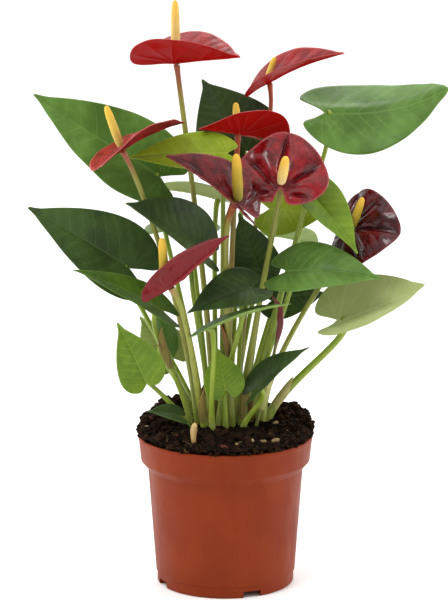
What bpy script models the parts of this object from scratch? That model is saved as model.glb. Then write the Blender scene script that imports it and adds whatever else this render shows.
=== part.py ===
"""Potted anthurium: a nursery pot of soil with heart-shaped leaves and eight flowers.

Metres, +Z up.  The origin is the centre of the pot's underside, and the pot
stands on the plane z = 0.  The table of leaves and flowers is in millimetres.
Run with: blender --background --python part.py
"""
import math
from dataclasses import dataclass

import bmesh
import bpy
from mathutils import Matrix, Vector, noise

MM = 0.001
GAP = 0.35 * MM                    # clearance between pieces that touch
SHARP_ANGLE = math.radians(40)

# ---------------------------------------------------------------- pot
POT_HEIGHT = 104 * MM
RIM_RADIUS = 60 * MM               # outside of the rim, at its top
RIM_LOWER_RADIUS = 58.2 * MM
RIM_DEPTH = 22 * MM                # height of the rim band
BODY_TOP_RADIUS = 53.4 * MM
BODY_LOW_RADIUS = 48.0 * MM
FOOT_RADIUS = 47.2 * MM
FOOT_HEIGHT = 7.5 * MM
WALL = 1.6 * MM
FLOOR_TOP = 7.0 * MM               # inside floor of the pot
CHANNEL_HEIGHT = 4.8 * MM          # drain channel under the pot
CHANNEL_INNER = 30 * MM
CHANNEL_OUTER = 43.5 * MM
CHANNEL_DRAFT = 1 * MM             # slope of the channel's walls
FOOT_CHAMFER = 1.2 * MM
RIM_CHAMFER = (0.7 * MM, 1 * MM)   # across and down, at the rim's outer edge
SHOULDER_SLOPE = 5.5 * MM          # the rim's lower edge slants in to the body
SHOULDER_DROP = 0.8 * MM           # how far that slant starts below the rim band
FOOT_SLOPE = 0.8 * MM
INNER_BEND = 2.5 * MM              # half height of the inside's bend under the rim
INNER_SHOULDER = POT_HEIGHT - RIM_DEPTH + 3 * MM
POT_SEGMENTS = 48
NOTCHES = 4
NOTCH_START = math.radians(-67)
NOTCH_WIDTH = 13 * MM
NOTCH_HEIGHT = 4.5 * MM
NOTCH_REACH = 3 * MM               # the cutters pass both faces by this much
DRAIN_HOLES = 8
DRAIN_RADIUS = 4 * MM
DRAIN_CIRCLE = 36.5 * MM

# ---------------------------------------------------------------- soil
CROWN_HEIGHT = 113 * MM            # flat top of the root ball, where stems rise
CROWN_RADIUS = 31 * MM
SOIL_EDGE_RADIUS = 60.8 * MM       # the heap laps a little over the rim
SOIL_EDGE_HEIGHT = 107.5 * MM
SOIL_SEGMENTS = 30
SOIL_RINGS = 5
SOIL_LUMP = 2.0 * MM
LUMP_SIZE = 9 * MM
CROWN_BLEND = 8 * MM               # width of the change from the flat crown to the heap
RING_JITTER = 0.03                 # the rings of the heap wander by this share
JITTER_SIZE = 6 * MM
JITTER_SHIFT = 5.0
MOUNDS = (                         # centre x, y, spread, height in millimetres
    (-38, 28, 17, 11),
    (48, 18, 15, 10),
    (-8, 44, 16, 6),
)

# ---------------------------------------------------------------- blades
LEAF_THICKNESS = 0.8 * MM
SPATHE_THICKNESS = 0.9 * MM
ROWS = 8                           # vein rows from the sinus round to the tip
COLUMNS = (0.0, 0.07, 0.52, 1.0)   # from the midrib to the margin
VEIN_SLANT = 0.5                   # side veins lean towards the tip
JUNCTION_ROW = 1                   # the stalk grows out under this row
JUNCTION_LENGTH = 3.6 * MM
MARGIN_BIAS = 0.35                 # widest part moved towards the stalk
MARGIN_PEAK = 1.07                 # greatest half-width of the plain outline formula
WAVE_TURN = 7.0                    # radians of ripple along the margin
WAVE_OFFSET = 2.0                  # one side of the ripple runs ahead of the other

# ---------------------------------------------------------------- stalks, stems and spadices
STALK_SIDES = 6
STALK_SEGMENTS = 8
STALK_SPREAD = 0.22                # a stalk leaves the soil leaning this share of its way
STALK_RISE = 0.4                   # height of its lower handle, as a share of its way
STALK_FLARE = 0.45                 # how much thicker it is at the soil
JUNCTION_DROP = 3.0 * MM           # the stalk is round this far under the blade
LEAF_REACH = (0.16, 5 * MM, 16 * MM)     # upper handle: share of the height, added, most
STEM_REACH = (0.2, 0 * MM, 22 * MM)
STEM_FLARE = 0.25
SEAT = 2.0 * MM                    # stem and spadix stand this far ahead of the sinus
SPADIX_SIDES = 8
SPADIX_FOOT = 0.62                 # the spadix narrows to this share of its radius
SPADIX_PROFILE = ((0.0, SPADIX_FOOT), (0.06, 0.9), (0.35, 1.0), (0.75, 0.9), (0.93, 0.66), (1.0, 0.2))


@dataclass(frozen=True)
class Leaf:
    """One leaf: places in millimetres, angles in degrees, sizes as fractions of length."""
    attach: tuple                  # where the stalk meets the blade
    tip: tuple
    facing: tuple                  # way the upper surface looks
    width: float
    root: tuple                    # x, y where the stalk leaves the soil
    fold: float = 10.0             # each half raised from flat along the midrib
    arch: float = 0.05             # rise of the midrib over its chord
    wave: float = 0.0              # ripple of the margin
    point: float = 1.0             # larger is narrower towards the tip
    back: float = 0.27             # lobes behind the attachment, as a share of length
    sinus: float = 163             # where the margin turns into the sinus
    stalk: float = 1.3             # stalk radius
    sway: tuple = (0, 0)           # sideways push on the stalk's middle


@dataclass(frozen=True)
class Flower:
    """One flower: a spathe, the spadix standing on it and the stem under it."""
    attach: tuple
    tip: tuple
    facing: tuple
    width: float
    root: tuple
    spadix: tuple                  # top of the spadix
    spadix_radius: float = 3.0
    fold: float = 12.0
    arch: float = 0.05
    wave: float = 0.0
    point: float = 0.55
    back: float = 0.35
    sinus: float = 171
    stalk: float = 1.5
    sway: tuple = (0, 0)


LEAVES = (
    # upper left, large, tip out to the side
    Leaf((-44, 13, 281), (-127, 6, 337), (-0.45, -0.55, 0.7), 64, (-16, 8), fold=14, arch=-0.03, back=0.17),
    # bright young leaf under the upper flowers
    Leaf((1, -6, 300), (-63, -9, 298), (0, -0.68, 0.74), 36, (-2, 10), fold=6, arch=0.04, back=0.15,
         sway=(0, 5)),
    # behind, standing up between the flower stems
    Leaf((14, 50, 293), (-15, 76, 337), (-0.15, -0.85, 0.5), 72, (3, 19), arch=0.03, point=1.4),
    # upper right, the largest
    Leaf((68, 34, 322), (148, 12, 341), (0.0, -0.75, 0.65), 70, (16, 14), fold=-8, arch=-0.15, point=0.3,
         back=0.2, sway=(4, 5)),
    # left, large and dark
    Leaf((-65, -6, 221), (-130, -18, 264), (-0.25, -0.7, 0.62), 60, (-24, 3), fold=18, arch=0.03),
    # lower left, bright
    Leaf((-43, -32, 198), (-99, -46, 227), (-0.2, -0.4, 0.9), 34, (-24, -9), fold=8),
    # middle left
    Leaf((-16, -14, 236), (-64, -42, 271), (0.15, -0.6, 0.75), 52, (-10, -6), fold=22, point=0.7),
    # centre, pale
    Leaf((30, 28, 256), (70, 22, 254), (0, -0.92, 0.4), 42, (9, 10), fold=8, sway=(3, -6)),
    # right, hanging before the dark flower
    Leaf((55, 0, 274), (87, -27, 238), (0.4, -0.75, 0.5), 38, (20, 6), fold=18, sway=(2, -3)),
    # middle right
    Leaf((42, -16, 221), (102, -36, 220), (0, -0.6, 0.8), 50, (17, -4), fold=10, arch=0.07),
    # lower right, pale
    Leaf((77, -15, 187), (132, -24, 212), (-0.2, -0.45, 0.88), 62, (28, 0), fold=22, arch=-0.03, point=0.6,
         stalk=1.9),
    # dark, behind the bud
    Leaf((32, 35, 190), (68, 40, 194), (0, -0.85, 0.5), 34, (14, 20)),
    # centre, tip down
    Leaf((17, -32, 213), (-23, -51, 201), (-0.1, -0.6, 0.8), 40, (-5, -13), fold=10, arch=0.06, back=0.3),
    # edge on, low in the middle
    Leaf((-12, -42, 187), (41, -38, 203), (-0.3, 0.1, 0.95), 32, (-9, -26), fold=8, sway=(-2, -5)),
    # small, low on the left
    Leaf((-53, -33, 147), (-71, -43, 189), (0.1, -0.9, 0.3), 36, (-26, -14), fold=12, back=0.1),
    # grey green, low behind the left stalks
    Leaf((-38, 32, 150), (-58, 38, 176), (0, -0.95, 0.25), 38, (-20, 18)),
    # small, low in the middle
    Leaf((0, -29, 142), (-5, -24, 167), (0, -0.9, 0.4), 29, (0, -18), point=0.7),
    # low on the right, dark
    Leaf((20, -28, 142), (54, -34, 171), (-0.5, -0.35, 0.8), 34, (12, -20), fold=14),
    # lying near the soil on the left
    Leaf((-31, -28, 123), (-51, -37, 129), (0, -0.5, 0.85), 20, (-19, -19), stalk=1.0),
    # left, nearly edge on
    Leaf((-40, 20, 160), (-53, 20, 194), (0.7, -0.5, 0.5), 26, (-21, 10)),
    # behind the middle
    Leaf((24, 23, 214), (10, 26, 251), (-0.25, -0.85, 0.4), 36, (6, 25)),
    # behind, underside towards the front
    Leaf((-3, 30, 262), (-55, 40, 268), (0, 0.35, 0.95), 48, (-7, 16)),
    # centre right, dark
    Leaf((8, 3, 207), (45, 0, 212), (0, -0.95, 0.3), 24, (8, -2)),
    # three at the back
    Leaf((-22, 50, 236), (-58, 88, 226), (-0.3, 0.45, 0.85), 52, (-12, 24)),
    Leaf((30, 58, 232), (66, 90, 216), (0.3, 0.5, 0.8), 54, (14, 26)),
    Leaf((2, 60, 180), (0, 108, 168), (0, 0.35, 0.95), 48, (-3, 28)),
)
FLOWERS = (
    Flower((-35, 17, 358), (8, 2, 364), (0, 0.03, 1), 76, (-7, 5), (-34, 19, 401),
           fold=30, arch=0.01, back=0.6, sway=(0, 3)),
    Flower((28, 44, 340), (79, 28, 363), (-0.35, -0.12, 0.93), 46, (9, 16), (34, 44, 359),
           spadix_radius=2.1, fold=24, stalk=1.3, point=0.8, back=0.28, sway=(-4, 4)),
    Flower((-70, -34, 306), (-29, -8, 321), (-0.33, 0.16, 0.92), 60, (-19, -4), (-79, -37, 337),
           spadix_radius=2.8, fold=10, stalk=1.4, back=0.42, sway=(3, 5)),
    Flower((10, 14, 310), (-16, -2, 316), (0.1, 0.5, 0.85), 58, (2, 6), (7, 26, 330),
           spadix_radius=2.6, fold=24, arch=0.02, point=0.8, back=1.1, sway=(-2, 3)),
    Flower((8, -38, 270), (-38, -35, 302), (0.42, -0.36, 0.83), 50, (4, -10), (7, -43, 306),
           spadix_radius=3.6, fold=26, stalk=1.9, back=0.3, sway=(0, 7)),
    Flower((37, -24, 280), (42, 0, 314), (0, -0.7, 0.7), 64, (11, -10), (40, -38, 303),
           spadix_radius=3.3, fold=-4, wave=2, point=0.3, back=0.27),
    Flower((86, -2, 248), (117, -26, 249), (-0.1, -0.85, 0.45), 58, (25, -6), (92, -18, 272),
           spadix_radius=2.8, fold=2, wave=2, stalk=1.4, point=0.15, back=0.4, sway=(-12, 0)),
    Flower((-38, -56, 217), (1, -61, 253), (-0.65, 0.1, 0.75), 35, (-14, -21), (-42, -61, 253),
           spadix_radius=3.1, fold=55, stalk=1.6, arch=-0.01, sway=(-3, 0)),
)
BUD = {
    "root": (21, -14),
    "path": ((30, -14, 150), (37, -16, 183), (37, -15, 196), (31, -16, 205)),
    "radius": 2.6,
    "swell": (0.5, 0.5, 0.48, 0.48, 0.5, 0.85, 1.0, 0.8, 0.25),
}
SHOOT = {
    "foot": (-22, -47),
    "top": (-21, -49, 124),
    "radius": 2.6,
    "profile": ((0.0, 0.7), (0.3, 0.95), (0.65, 1.0), (0.9, 0.75), (1.0, 0.3)),
}
SHOOT_GAP = 1.0 * MM               # clear of the lumpy soil under its whole foot


# ---------------------------------------------------------------- helpers
def clear_scene():
    """Remove every object of the opening scene."""
    for scene_object in list(bpy.data.objects):
        bpy.data.objects.remove(scene_object, do_unlink=True)


def make_material(name, colour, roughness):
    """Return a Principled material with one colour and roughness."""
    material = bpy.data.materials.new(name)
    material.use_nodes = True
    shader = material.node_tree.nodes["Principled BSDF"]
    shader.inputs["Base Color"].default_value = (*colour, 1.0)
    shader.inputs["Roughness"].default_value = roughness
    shader.inputs["Metallic"].default_value = 0.0
    material.diffuse_color = (*colour, 1.0)
    return material


def add_object(name, shape, material, smooth=True):
    """Turn a bmesh into a named object of the scene."""
    bmesh.ops.recalc_face_normals(shape, faces=shape.faces)
    mesh = bpy.data.meshes.new(name)
    shape.to_mesh(mesh)
    shape.free()
    mesh.materials.append(material)
    if smooth:
        mesh.shade_smooth()
        mesh.set_sharp_from_angle(angle=SHARP_ANGLE)
    new_object = bpy.data.objects.new(name, mesh)
    bpy.context.collection.objects.link(new_object)
    return new_object


def millimetres(point):
    """Return a point of the tables as a vector in metres."""
    return Vector(point) * MM


def bezier(start, start_handle, end_handle, end, steps):
    """Points along a cubic curve, both ends included."""
    points = []
    for step in range(steps + 1):
        t = step / steps
        s = 1 - t
        points.append(
            start * s**3 + start_handle * (3 * s * s * t) + end_handle * (3 * s * t * t) + end * t**3
        )
    return points


def ring(shape, centre, across, along, radius, sides):
    """Add one ring of vertices in the plane of two unit vectors."""
    vertices = []
    for side in range(sides):
        angle = 2 * math.pi * side / sides
        offset = across * math.cos(angle) + along * math.sin(angle)
        vertices.append(shape.verts.new(centre + offset * radius))
    return vertices


def bridge(shape, first, second):
    """Join two rings of the same count with a band of quads."""
    count = len(first)
    for index in range(count):
        following = (index + 1) % count
        shape.faces.new((first[index], first[following], second[following], second[index]))


def carry_frame(across, along, old_direction, new_direction):
    """Turn a ring's two axes with the least twist as its path bends."""
    turn = old_direction.rotation_difference(new_direction)
    return turn @ across, turn @ along


def tube(shape, points, radii, sides, flat_start=False, flat_end=False):
    """Add a closed tube along points; a flat end is cut level."""
    direction = (points[1] - points[0]).normalized()
    across = direction.orthogonal().normalized()
    along = direction.cross(across)
    rings = []
    for index, point in enumerate(points):
        before = points[max(index - 1, 0)]
        after = points[min(index + 1, len(points) - 1)]
        new_direction = (after - before).normalized()
        across, along = carry_frame(across, along, direction, new_direction)
        direction = new_direction
        rings.append(ring(shape, point, across, along, radii[index], sides))
    for first, second in zip(rings, rings[1:]):
        bridge(shape, first, second)
    for is_flat, last_ring in ((flat_start, rings[0]), (flat_end, rings[-1])):
        if is_flat:
            height = sum(vertex.co.z for vertex in last_ring) / sides
            for vertex in last_ring:
                vertex.co.z = height
    shape.faces.new(rings[0][::-1])
    shape.faces.new(rings[-1])


# ---------------------------------------------------------------- pot and soil
def lathe(shape, profile, segments):
    """Turn a profile of (radius, height) once round; points on the axis close it."""
    rings = []
    for radius, height in profile:
        if radius == 0:
            rings.append([shape.verts.new((0, 0, height))])
        else:
            rings.append(ring(shape, Vector((0, 0, height)), Vector((1, 0, 0)),
                              Vector((0, 1, 0)), radius, segments))
    for lower, upper in zip(rings, rings[1:]):
        for index in range(segments):
            following = (index + 1) % segments
            if len(lower) == 1:
                shape.faces.new((lower[0], upper[following], upper[index]))
            elif len(upper) == 1:
                shape.faces.new((lower[index], lower[following], upper[0]))
            else:
                shape.faces.new((lower[index], lower[following], upper[following], upper[index]))


def inner_radius(height):
    """Radius of the pot's inside at a height."""
    if height >= INNER_SHOULDER:
        share = (height - INNER_SHOULDER) / (POT_HEIGHT - INNER_SHOULDER)
        return RIM_LOWER_RADIUS + (RIM_RADIUS - RIM_LOWER_RADIUS) * share - WALL
    share = (height - FOOT_HEIGHT) / (INNER_SHOULDER - FOOT_HEIGHT)
    return BODY_LOW_RADIUS + (BODY_TOP_RADIUS - BODY_LOW_RADIUS) * share - WALL


def build_pot(material):
    """The pot: a rim band, a tapering body and a foot with notches and drain holes."""
    shoulder = POT_HEIGHT - RIM_DEPTH
    floor_bend = FLOOR_TOP + 2 * INNER_BEND
    profile = (
        (0, 0),
        (CHANNEL_INNER, 0),
        (CHANNEL_INNER + CHANNEL_DRAFT, CHANNEL_HEIGHT),
        (CHANNEL_OUTER - CHANNEL_DRAFT, CHANNEL_HEIGHT),
        (CHANNEL_OUTER, 0),
        (FOOT_RADIUS - FOOT_CHAMFER, 0),
        (FOOT_RADIUS, FOOT_CHAMFER),
        (FOOT_RADIUS, FOOT_HEIGHT),
        (BODY_LOW_RADIUS, FOOT_HEIGHT + FOOT_SLOPE),
        (BODY_TOP_RADIUS, shoulder - SHOULDER_DROP),
        (RIM_LOWER_RADIUS, shoulder - SHOULDER_DROP + SHOULDER_SLOPE),
        (RIM_RADIUS, POT_HEIGHT - RIM_CHAMFER[1]),
        (RIM_RADIUS - RIM_CHAMFER[0], POT_HEIGHT),
        (RIM_RADIUS - WALL, POT_HEIGHT),
        (inner_radius(INNER_SHOULDER + INNER_BEND), INNER_SHOULDER + INNER_BEND),
        (inner_radius(INNER_SHOULDER - INNER_BEND), INNER_SHOULDER - INNER_BEND),
        (inner_radius(floor_bend), floor_bend),
        (inner_radius(FLOOR_TOP) - INNER_BEND, FLOOR_TOP),
        (0, FLOOR_TOP),
    )
    shape = bmesh.new()
    lathe(shape, profile, POT_SEGMENTS)
    pot = add_object("pot", shape, material)
    for index in range(NOTCHES):
        angle = NOTCH_START + 2 * math.pi * index / NOTCHES
        cutter = bmesh.new()
        bmesh.ops.create_cube(cutter, size=1.0)
        length = FOOT_RADIUS - CHANNEL_OUTER + 2 * NOTCH_REACH
        bmesh.ops.scale(cutter, vec=(length, NOTCH_WIDTH, 2 * NOTCH_HEIGHT), verts=cutter.verts)
        bmesh.ops.translate(cutter, vec=((FOOT_RADIUS + CHANNEL_OUTER) / 2, 0, 0), verts=cutter.verts)
        bmesh.ops.rotate(cutter, cent=(0, 0, 0), matrix=Matrix.Rotation(angle, 3, "Z"), verts=cutter.verts)
        cut(pot, add_object(f"notch_cutter_{index + 1}", cutter, material, smooth=False))
    for index in range(DRAIN_HOLES):
        angle = 2 * math.pi * (index + 0.5) / DRAIN_HOLES
        cutter = bmesh.new()
        bmesh.ops.create_cone(cutter, cap_ends=True, segments=8, radius1=DRAIN_RADIUS,
                              radius2=DRAIN_RADIUS, depth=3 * FLOOR_TOP)
        centre = (DRAIN_CIRCLE * math.cos(angle), DRAIN_CIRCLE * math.sin(angle), FLOOR_TOP)
        bmesh.ops.translate(cutter, vec=centre, verts=cutter.verts)
        cut(pot, add_object(f"drain_cutter_{index + 1}", cutter, material, smooth=False))


def cut(target, cutter):
    """Subtract a cutter from a target with a Boolean modifier."""
    cutter.hide_render = True
    cutter.display_type = "WIRE"
    modifier = target.modifiers.new(cutter.name, "BOOLEAN")
    modifier.operation = "DIFFERENCE"
    modifier.object = cutter


def soil_height(x, y):
    """Height of the heaped soil above the plane at a place."""
    radius = math.hypot(x, y)
    share = min(radius / SOIL_EDGE_RADIUS, 1.0)
    height = SOIL_EDGE_HEIGHT + (CROWN_HEIGHT - SOIL_EDGE_HEIGHT) * (1 - share**3)
    rise = 0.0
    for centre_x, centre_y, spread, mound in MOUNDS:
        away = math.hypot(x - centre_x * MM, y - centre_y * MM) / (spread * MM)
        rise += mound * MM * math.exp(-away * away)
    lump = noise.noise(Vector((x, y, 0.0)) / LUMP_SIZE) * SOIL_LUMP
    blend = min(max((radius - CROWN_RADIUS) / CROWN_BLEND, 0.0), 1.0)
    return CROWN_HEIGHT + (height + rise + lump - CROWN_HEIGHT) * blend


def build_soil(material):
    """The root ball: it fills the pot and heaps a little over the rim."""
    shape = bmesh.new()
    axes = (Vector((1, 0, 0)), Vector((0, 1, 0)))
    bends = (FLOOR_TOP + 2 * INNER_BEND, INNER_SHOULDER - INNER_BEND, INNER_SHOULDER + INNER_BEND)
    wall = [(inner_radius(FLOOR_TOP) - INNER_BEND - 2 * GAP, FLOOR_TOP + GAP)]
    wall += [(inner_radius(height) - GAP, height) for height in bends]
    wall += [(RIM_RADIUS - WALL - GAP, POT_HEIGHT), (SOIL_EDGE_RADIUS, POT_HEIGHT + 3 * GAP)]
    rings = [ring(shape, Vector((0, 0, height)), *axes, radius, SOIL_SEGMENTS)
             for radius, height in wall]
    for step in range(SOIL_RINGS + 1):
        radius = SOIL_EDGE_RADIUS + (CROWN_RADIUS - SOIL_EDGE_RADIUS) * step / SOIL_RINGS
        band = ring(shape, Vector((0, 0, 0)), *axes, radius, SOIL_SEGMENTS)
        for vertex in band:
            if 0 < step < SOIL_RINGS:
                jitter = noise.noise(vertex.co / JITTER_SIZE + Vector((JITTER_SHIFT, 0, 0)))
                vertex.co *= 1 + jitter * RING_JITTER
            vertex.co.z = soil_height(vertex.co.x, vertex.co.y)
        rings.append(band)
    for lower, upper in zip(rings, rings[1:]):
        bridge(shape, lower, upper)
    shape.faces.new(rings[0][::-1])
    shape.faces.new(rings[-1])
    add_object("potting_soil", shape, material, smooth=False)


# ---------------------------------------------------------------- blades
def outline_point(angle, plan):
    """Margin of a heart one long from the attachment to the tip: half-width share and height.

    The angle runs from 0 at the tip to nearly a half turn at the sinus.
    """
    along = -plan.back + (1 + plan.back) * (1 + math.cos(angle)) / 2
    across = math.sin(angle) * (1 - MARGIN_BIAS * math.cos(angle)) * math.tanh(angle / plan.point)
    return across / MARGIN_PEAK, along


class Blade:
    """The mapping from a flat heart-shaped outline to its place in the air."""

    def __init__(self, plan, thickness):
        self.plan = plan
        self.thickness = thickness
        self.origin = millimetres(plan.attach)
        chord = millimetres(plan.tip) - self.origin
        self.length = chord.length
        self.along = chord.normalized()
        facing = Vector(plan.facing)
        self.up = (facing - self.along * facing.dot(self.along)).normalized()
        self.across = self.along.cross(self.up)

    def place(self, x, y):
        """World position of the flat point x across and y along, in metres."""
        plan = self.plan
        fold = math.radians(plan.fold)
        t = y / self.length
        half_width = plan.width * MM / 2
        reach = abs(x) / half_width
        height = abs(x) * math.sin(fold)
        height += 4 * plan.arch * self.length * t * (1 - t)
        phase = WAVE_OFFSET if x > 0 else 0
        height += plan.wave * MM * reach**2 * math.sin(WAVE_TURN * t + phase)
        return self.origin + self.across * (x * math.cos(fold)) + self.along * y + self.up * height

    def rows(self):
        """Flat points of one half, row by row from the sinus to the tip."""
        table = []
        half_width = self.plan.width * MM / 2
        for row in range(ROWS + 1):
            angle = math.radians(self.plan.sinus) * (1 - row / ROWS)
            share, reach = outline_point(angle, self.plan)
            margin = (share * half_width, reach * self.length)
            start = max(margin[1] - VEIN_SLANT * margin[0], 0.0)
            if row > JUNCTION_ROW:
                start = max(start, JUNCTION_LENGTH)
            table.append([(margin[0] * c, start + (margin[1] - start) * c) for c in COLUMNS])
        return table

    def flat_sheet(self, sheet):
        """Add the blade to a bmesh as one sheet; return its vertices by (side, row, column)."""
        grid = {}
        midrib = {}
        for side in (1, -1):
            for row, points in enumerate(self.rows()):
                for column, (x, y) in enumerate(points):
                    if column == 0 or row == ROWS:
                        height = round(y / MM, 3)
                        if height not in midrib:
                            midrib[height] = sheet.verts.new(self.place(0, y))
                        grid[side, row, column] = midrib[height]
                    else:
                        grid[side, row, column] = sheet.verts.new(self.place(x * side, y))
        for side in (1, -1):
            for row in range(ROWS):
                for column in range(len(COLUMNS) - 1):
                    corners = [grid[side, row, column], grid[side, row, column + 1],
                               grid[side, row + 1, column + 1], grid[side, row + 1, column]]
                    corners = list(dict.fromkeys(corners))
                    sheet.faces.new(corners if side > 0 else corners[::-1])
        sheet.normal_update()
        return grid

    @staticmethod
    def margin(grid):
        """The sheet's edge as one loop, from the sinus round by the tip."""
        last = len(COLUMNS) - 1
        loop = [grid[1, 0, column] for column in range(len(COLUMNS))]
        loop += [grid[1, row, last] for row in range(1, ROWS + 1)]
        loop += [grid[-1, row, last] for row in range(ROWS - 1, -1, -1)]
        loop += [grid[-1, 0, column] for column in range(last - 1, 0, -1)]
        return loop

    def build(self, shape, stalk_points=None):
        """Add the blade as a closed slab, with its stalk when points are given."""
        sheet = bmesh.new()
        grid = self.flat_sheet(sheet)
        half = self.thickness / 2
        top = {v: shape.verts.new(v.co + v.normal * half) for v in sheet.verts}
        under = {v: shape.verts.new(v.co - v.normal * half) for v in sheet.verts}
        mouth = []
        if stalk_points:
            low, high = JUNCTION_ROW, JUNCTION_ROW + 1
            mouth = [grid[1, low, 0], grid[1, low, 1], grid[1, high, 1],
                     grid[1, high, 0], grid[-1, high, 1], grid[-1, low, 1]]
        for face in sheet.faces:
            shape.faces.new([top[v] for v in face.verts])
            if not set(face.verts) <= set(mouth):
                shape.faces.new([under[v] for v in reversed(face.verts)])
        edge = self.margin(grid)
        for first, second in zip(edge, edge[1:] + edge[:1]):
            shape.faces.new((top[first], top[second], under[second], under[first]))
        if stalk_points:
            self.grow_stalk(shape, [under[v] for v in mouth], stalk_points)
        sheet.free()

    def grow_stalk(self, shape, mouth, points):
        """Continue the open underside at the junction into a stalk along points."""
        radius = self.plan.stalk * MM
        direction = -self.up
        across, along = self.across, self.along
        previous = mouth
        for index, point in enumerate(points):
            after = points[min(index + 1, len(points) - 1)]
            before = points[max(index - 1, 0)]
            new_direction = (after - before).normalized()
            across, along = carry_frame(across, along, direction, new_direction)
            direction = new_direction
            size = radius * (1.0 + STALK_FLARE * (index / (len(points) - 1)) ** 3)
            current = []
            for corner in range(STALK_SIDES):
                angle = 2 * math.pi * corner / STALK_SIDES - math.pi / 2
                offset = across * math.cos(angle) + along * math.sin(angle)
                current.append(shape.verts.new(point + offset * size))
            bridge(shape, previous, current)
            previous = current
        for vertex in previous:
            vertex.co.z = points[-1].z
        shape.faces.new(previous)


def stalk_route(plan, end, end_direction, reach):
    """Points from the crown up to an end that it meets along a direction."""
    start = millimetres((*plan.root, 0)) + Vector((0, 0, CROWN_HEIGHT + GAP))
    way = end - start
    push = millimetres((*plan.sway, 0))
    start_handle = start + way * Vector((STALK_SPREAD, STALK_SPREAD, STALK_RISE)) + push
    share, added, most = reach
    handle = min(share * (end.z - CROWN_HEIGHT) + added, most)
    end_handle = end - end_direction * handle + push
    return bezier(start, start_handle, end_handle, end, STALK_SEGMENTS)


def build_leaf(index, plan, material):
    """One leaf: the blade with the stalk that it grew on, as one body."""
    blade = Blade(plan, LEAF_THICKNESS)
    under = blade.origin + blade.along * JUNCTION_LENGTH * 0.7 - blade.up * JUNCTION_DROP
    route = stalk_route(plan, under, blade.up, LEAF_REACH)
    shape = bmesh.new()
    blade.build(shape, route[::-1])
    add_object(f"leaf_{index:02d}", shape, material)


def build_flower(index, plan, materials):
    """One flower: spathe, spadix and stem, each a body of its own."""
    blade = Blade(plan, SPATHE_THICKNESS)
    shape = bmesh.new()
    blade.build(shape)
    add_object(f"spathe_{index}", shape, materials["spathe"])

    radius = plan.stalk * MM
    clearance = SPATHE_THICKNESS / 2 + GAP + 0.9 * radius
    centre = blade.origin + blade.along * SEAT
    route = stalk_route(plan, centre - blade.up * clearance, blade.up, STEM_REACH)
    radii = [radius * (1 + STEM_FLARE * (1 - step / STALK_SEGMENTS)) for step in range(STALK_SEGMENTS + 1)]
    shape = bmesh.new()
    tube(shape, route, radii, STALK_SIDES, flat_start=True)
    add_object(f"flower_stem_{index}", shape, materials["stem"])

    spadix_radius = plan.spadix_radius * MM
    foot_clearance = SPATHE_THICKNESS / 2 + SPADIX_FOOT * spadix_radius
    foot = centre + blade.up * (foot_clearance / math.cos(math.radians(plan.fold)) + 3 * GAP)
    points = [foot.lerp(millimetres(plan.spadix), share) for share, _ in SPADIX_PROFILE]
    shape = bmesh.new()
    tube(shape, points, [spadix_radius * width for _, width in SPADIX_PROFILE], SPADIX_SIDES)
    add_object(f"spadix_{index}", shape, materials["spadix"])


def build_bud(material):
    """A flower still furled: a slim spindle on its stem."""
    controls = [millimetres((*BUD["root"], 0)) + Vector((0, 0, CROWN_HEIGHT + GAP))]
    controls += [millimetres(point) for point in BUD["path"]]
    points = []
    for first, second in zip(controls, controls[1:]):
        points += [first, first.lerp(second, 0.5)]
    points.append(controls[-1])
    radii = [BUD["radius"] * MM * share for share in BUD["swell"]]
    shape = bmesh.new()
    tube(shape, points, radii, STALK_SIDES, flat_start=True)
    add_object("flower_bud", shape, material)


def build_shoot(material):
    """A young pale shoot at the front of the pot."""
    foot = millimetres((*SHOOT["foot"], 0))
    foot.z = soil_height(foot.x, foot.y) + SHOOT_GAP
    top = millimetres(SHOOT["top"])
    points = [foot.lerp(top, share) for share, _ in SHOOT["profile"]]
    radii = [SHOOT["radius"] * MM * width for _, width in SHOOT["profile"]]
    shape = bmesh.new()
    tube(shape, points, radii, SPADIX_SIDES, flat_start=True)
    add_object("young_shoot", shape, material)


def main():
    """Build the whole plant."""
    clear_scene()
    terracotta = make_material("terracotta_plastic", (0.30, 0.075, 0.030), 0.42)
    earth = make_material("peat_soil", (0.012, 0.006, 0.004), 0.95)
    green = make_material("leaf_green", (0.075, 0.17, 0.035), 0.35)
    red = make_material("spathe_red", (0.20, 0.008, 0.010), 0.25)
    yellow = make_material("spadix_yellow", (0.75, 0.48, 0.08), 0.6)
    stalk = make_material("stalk_green", (0.16, 0.22, 0.03), 0.4)
    tan = make_material("shoot_tan", (0.48, 0.33, 0.14), 0.6)
    build_pot(terracotta)
    build_soil(earth)
    for index, plan in enumerate(LEAVES, start=1):
        build_leaf(index, plan, green)
    for index, plan in enumerate(FLOWERS, start=1):
        build_flower(index, plan, {"spathe": red, "stem": stalk, "spadix": yellow})
    build_bud(red)
    build_shoot(tan)


main()
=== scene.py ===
"""Potted anthurium: the finished surfaces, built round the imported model.

Metres, +Z up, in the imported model's own frame.  Each leaf and each spathe is
refined from the upper face of its plain solid: the face is smoothed, measured
from its midrib and margin, embossed with veins and given a wall again.
"""

import logging
import math
import random
from collections.abc import Callable
from dataclasses import dataclass, field
from enum import Enum

import bmesh
import bpy
import numpy as np
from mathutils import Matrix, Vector, noise
from mathutils.bvhtree import BVHTree


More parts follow.
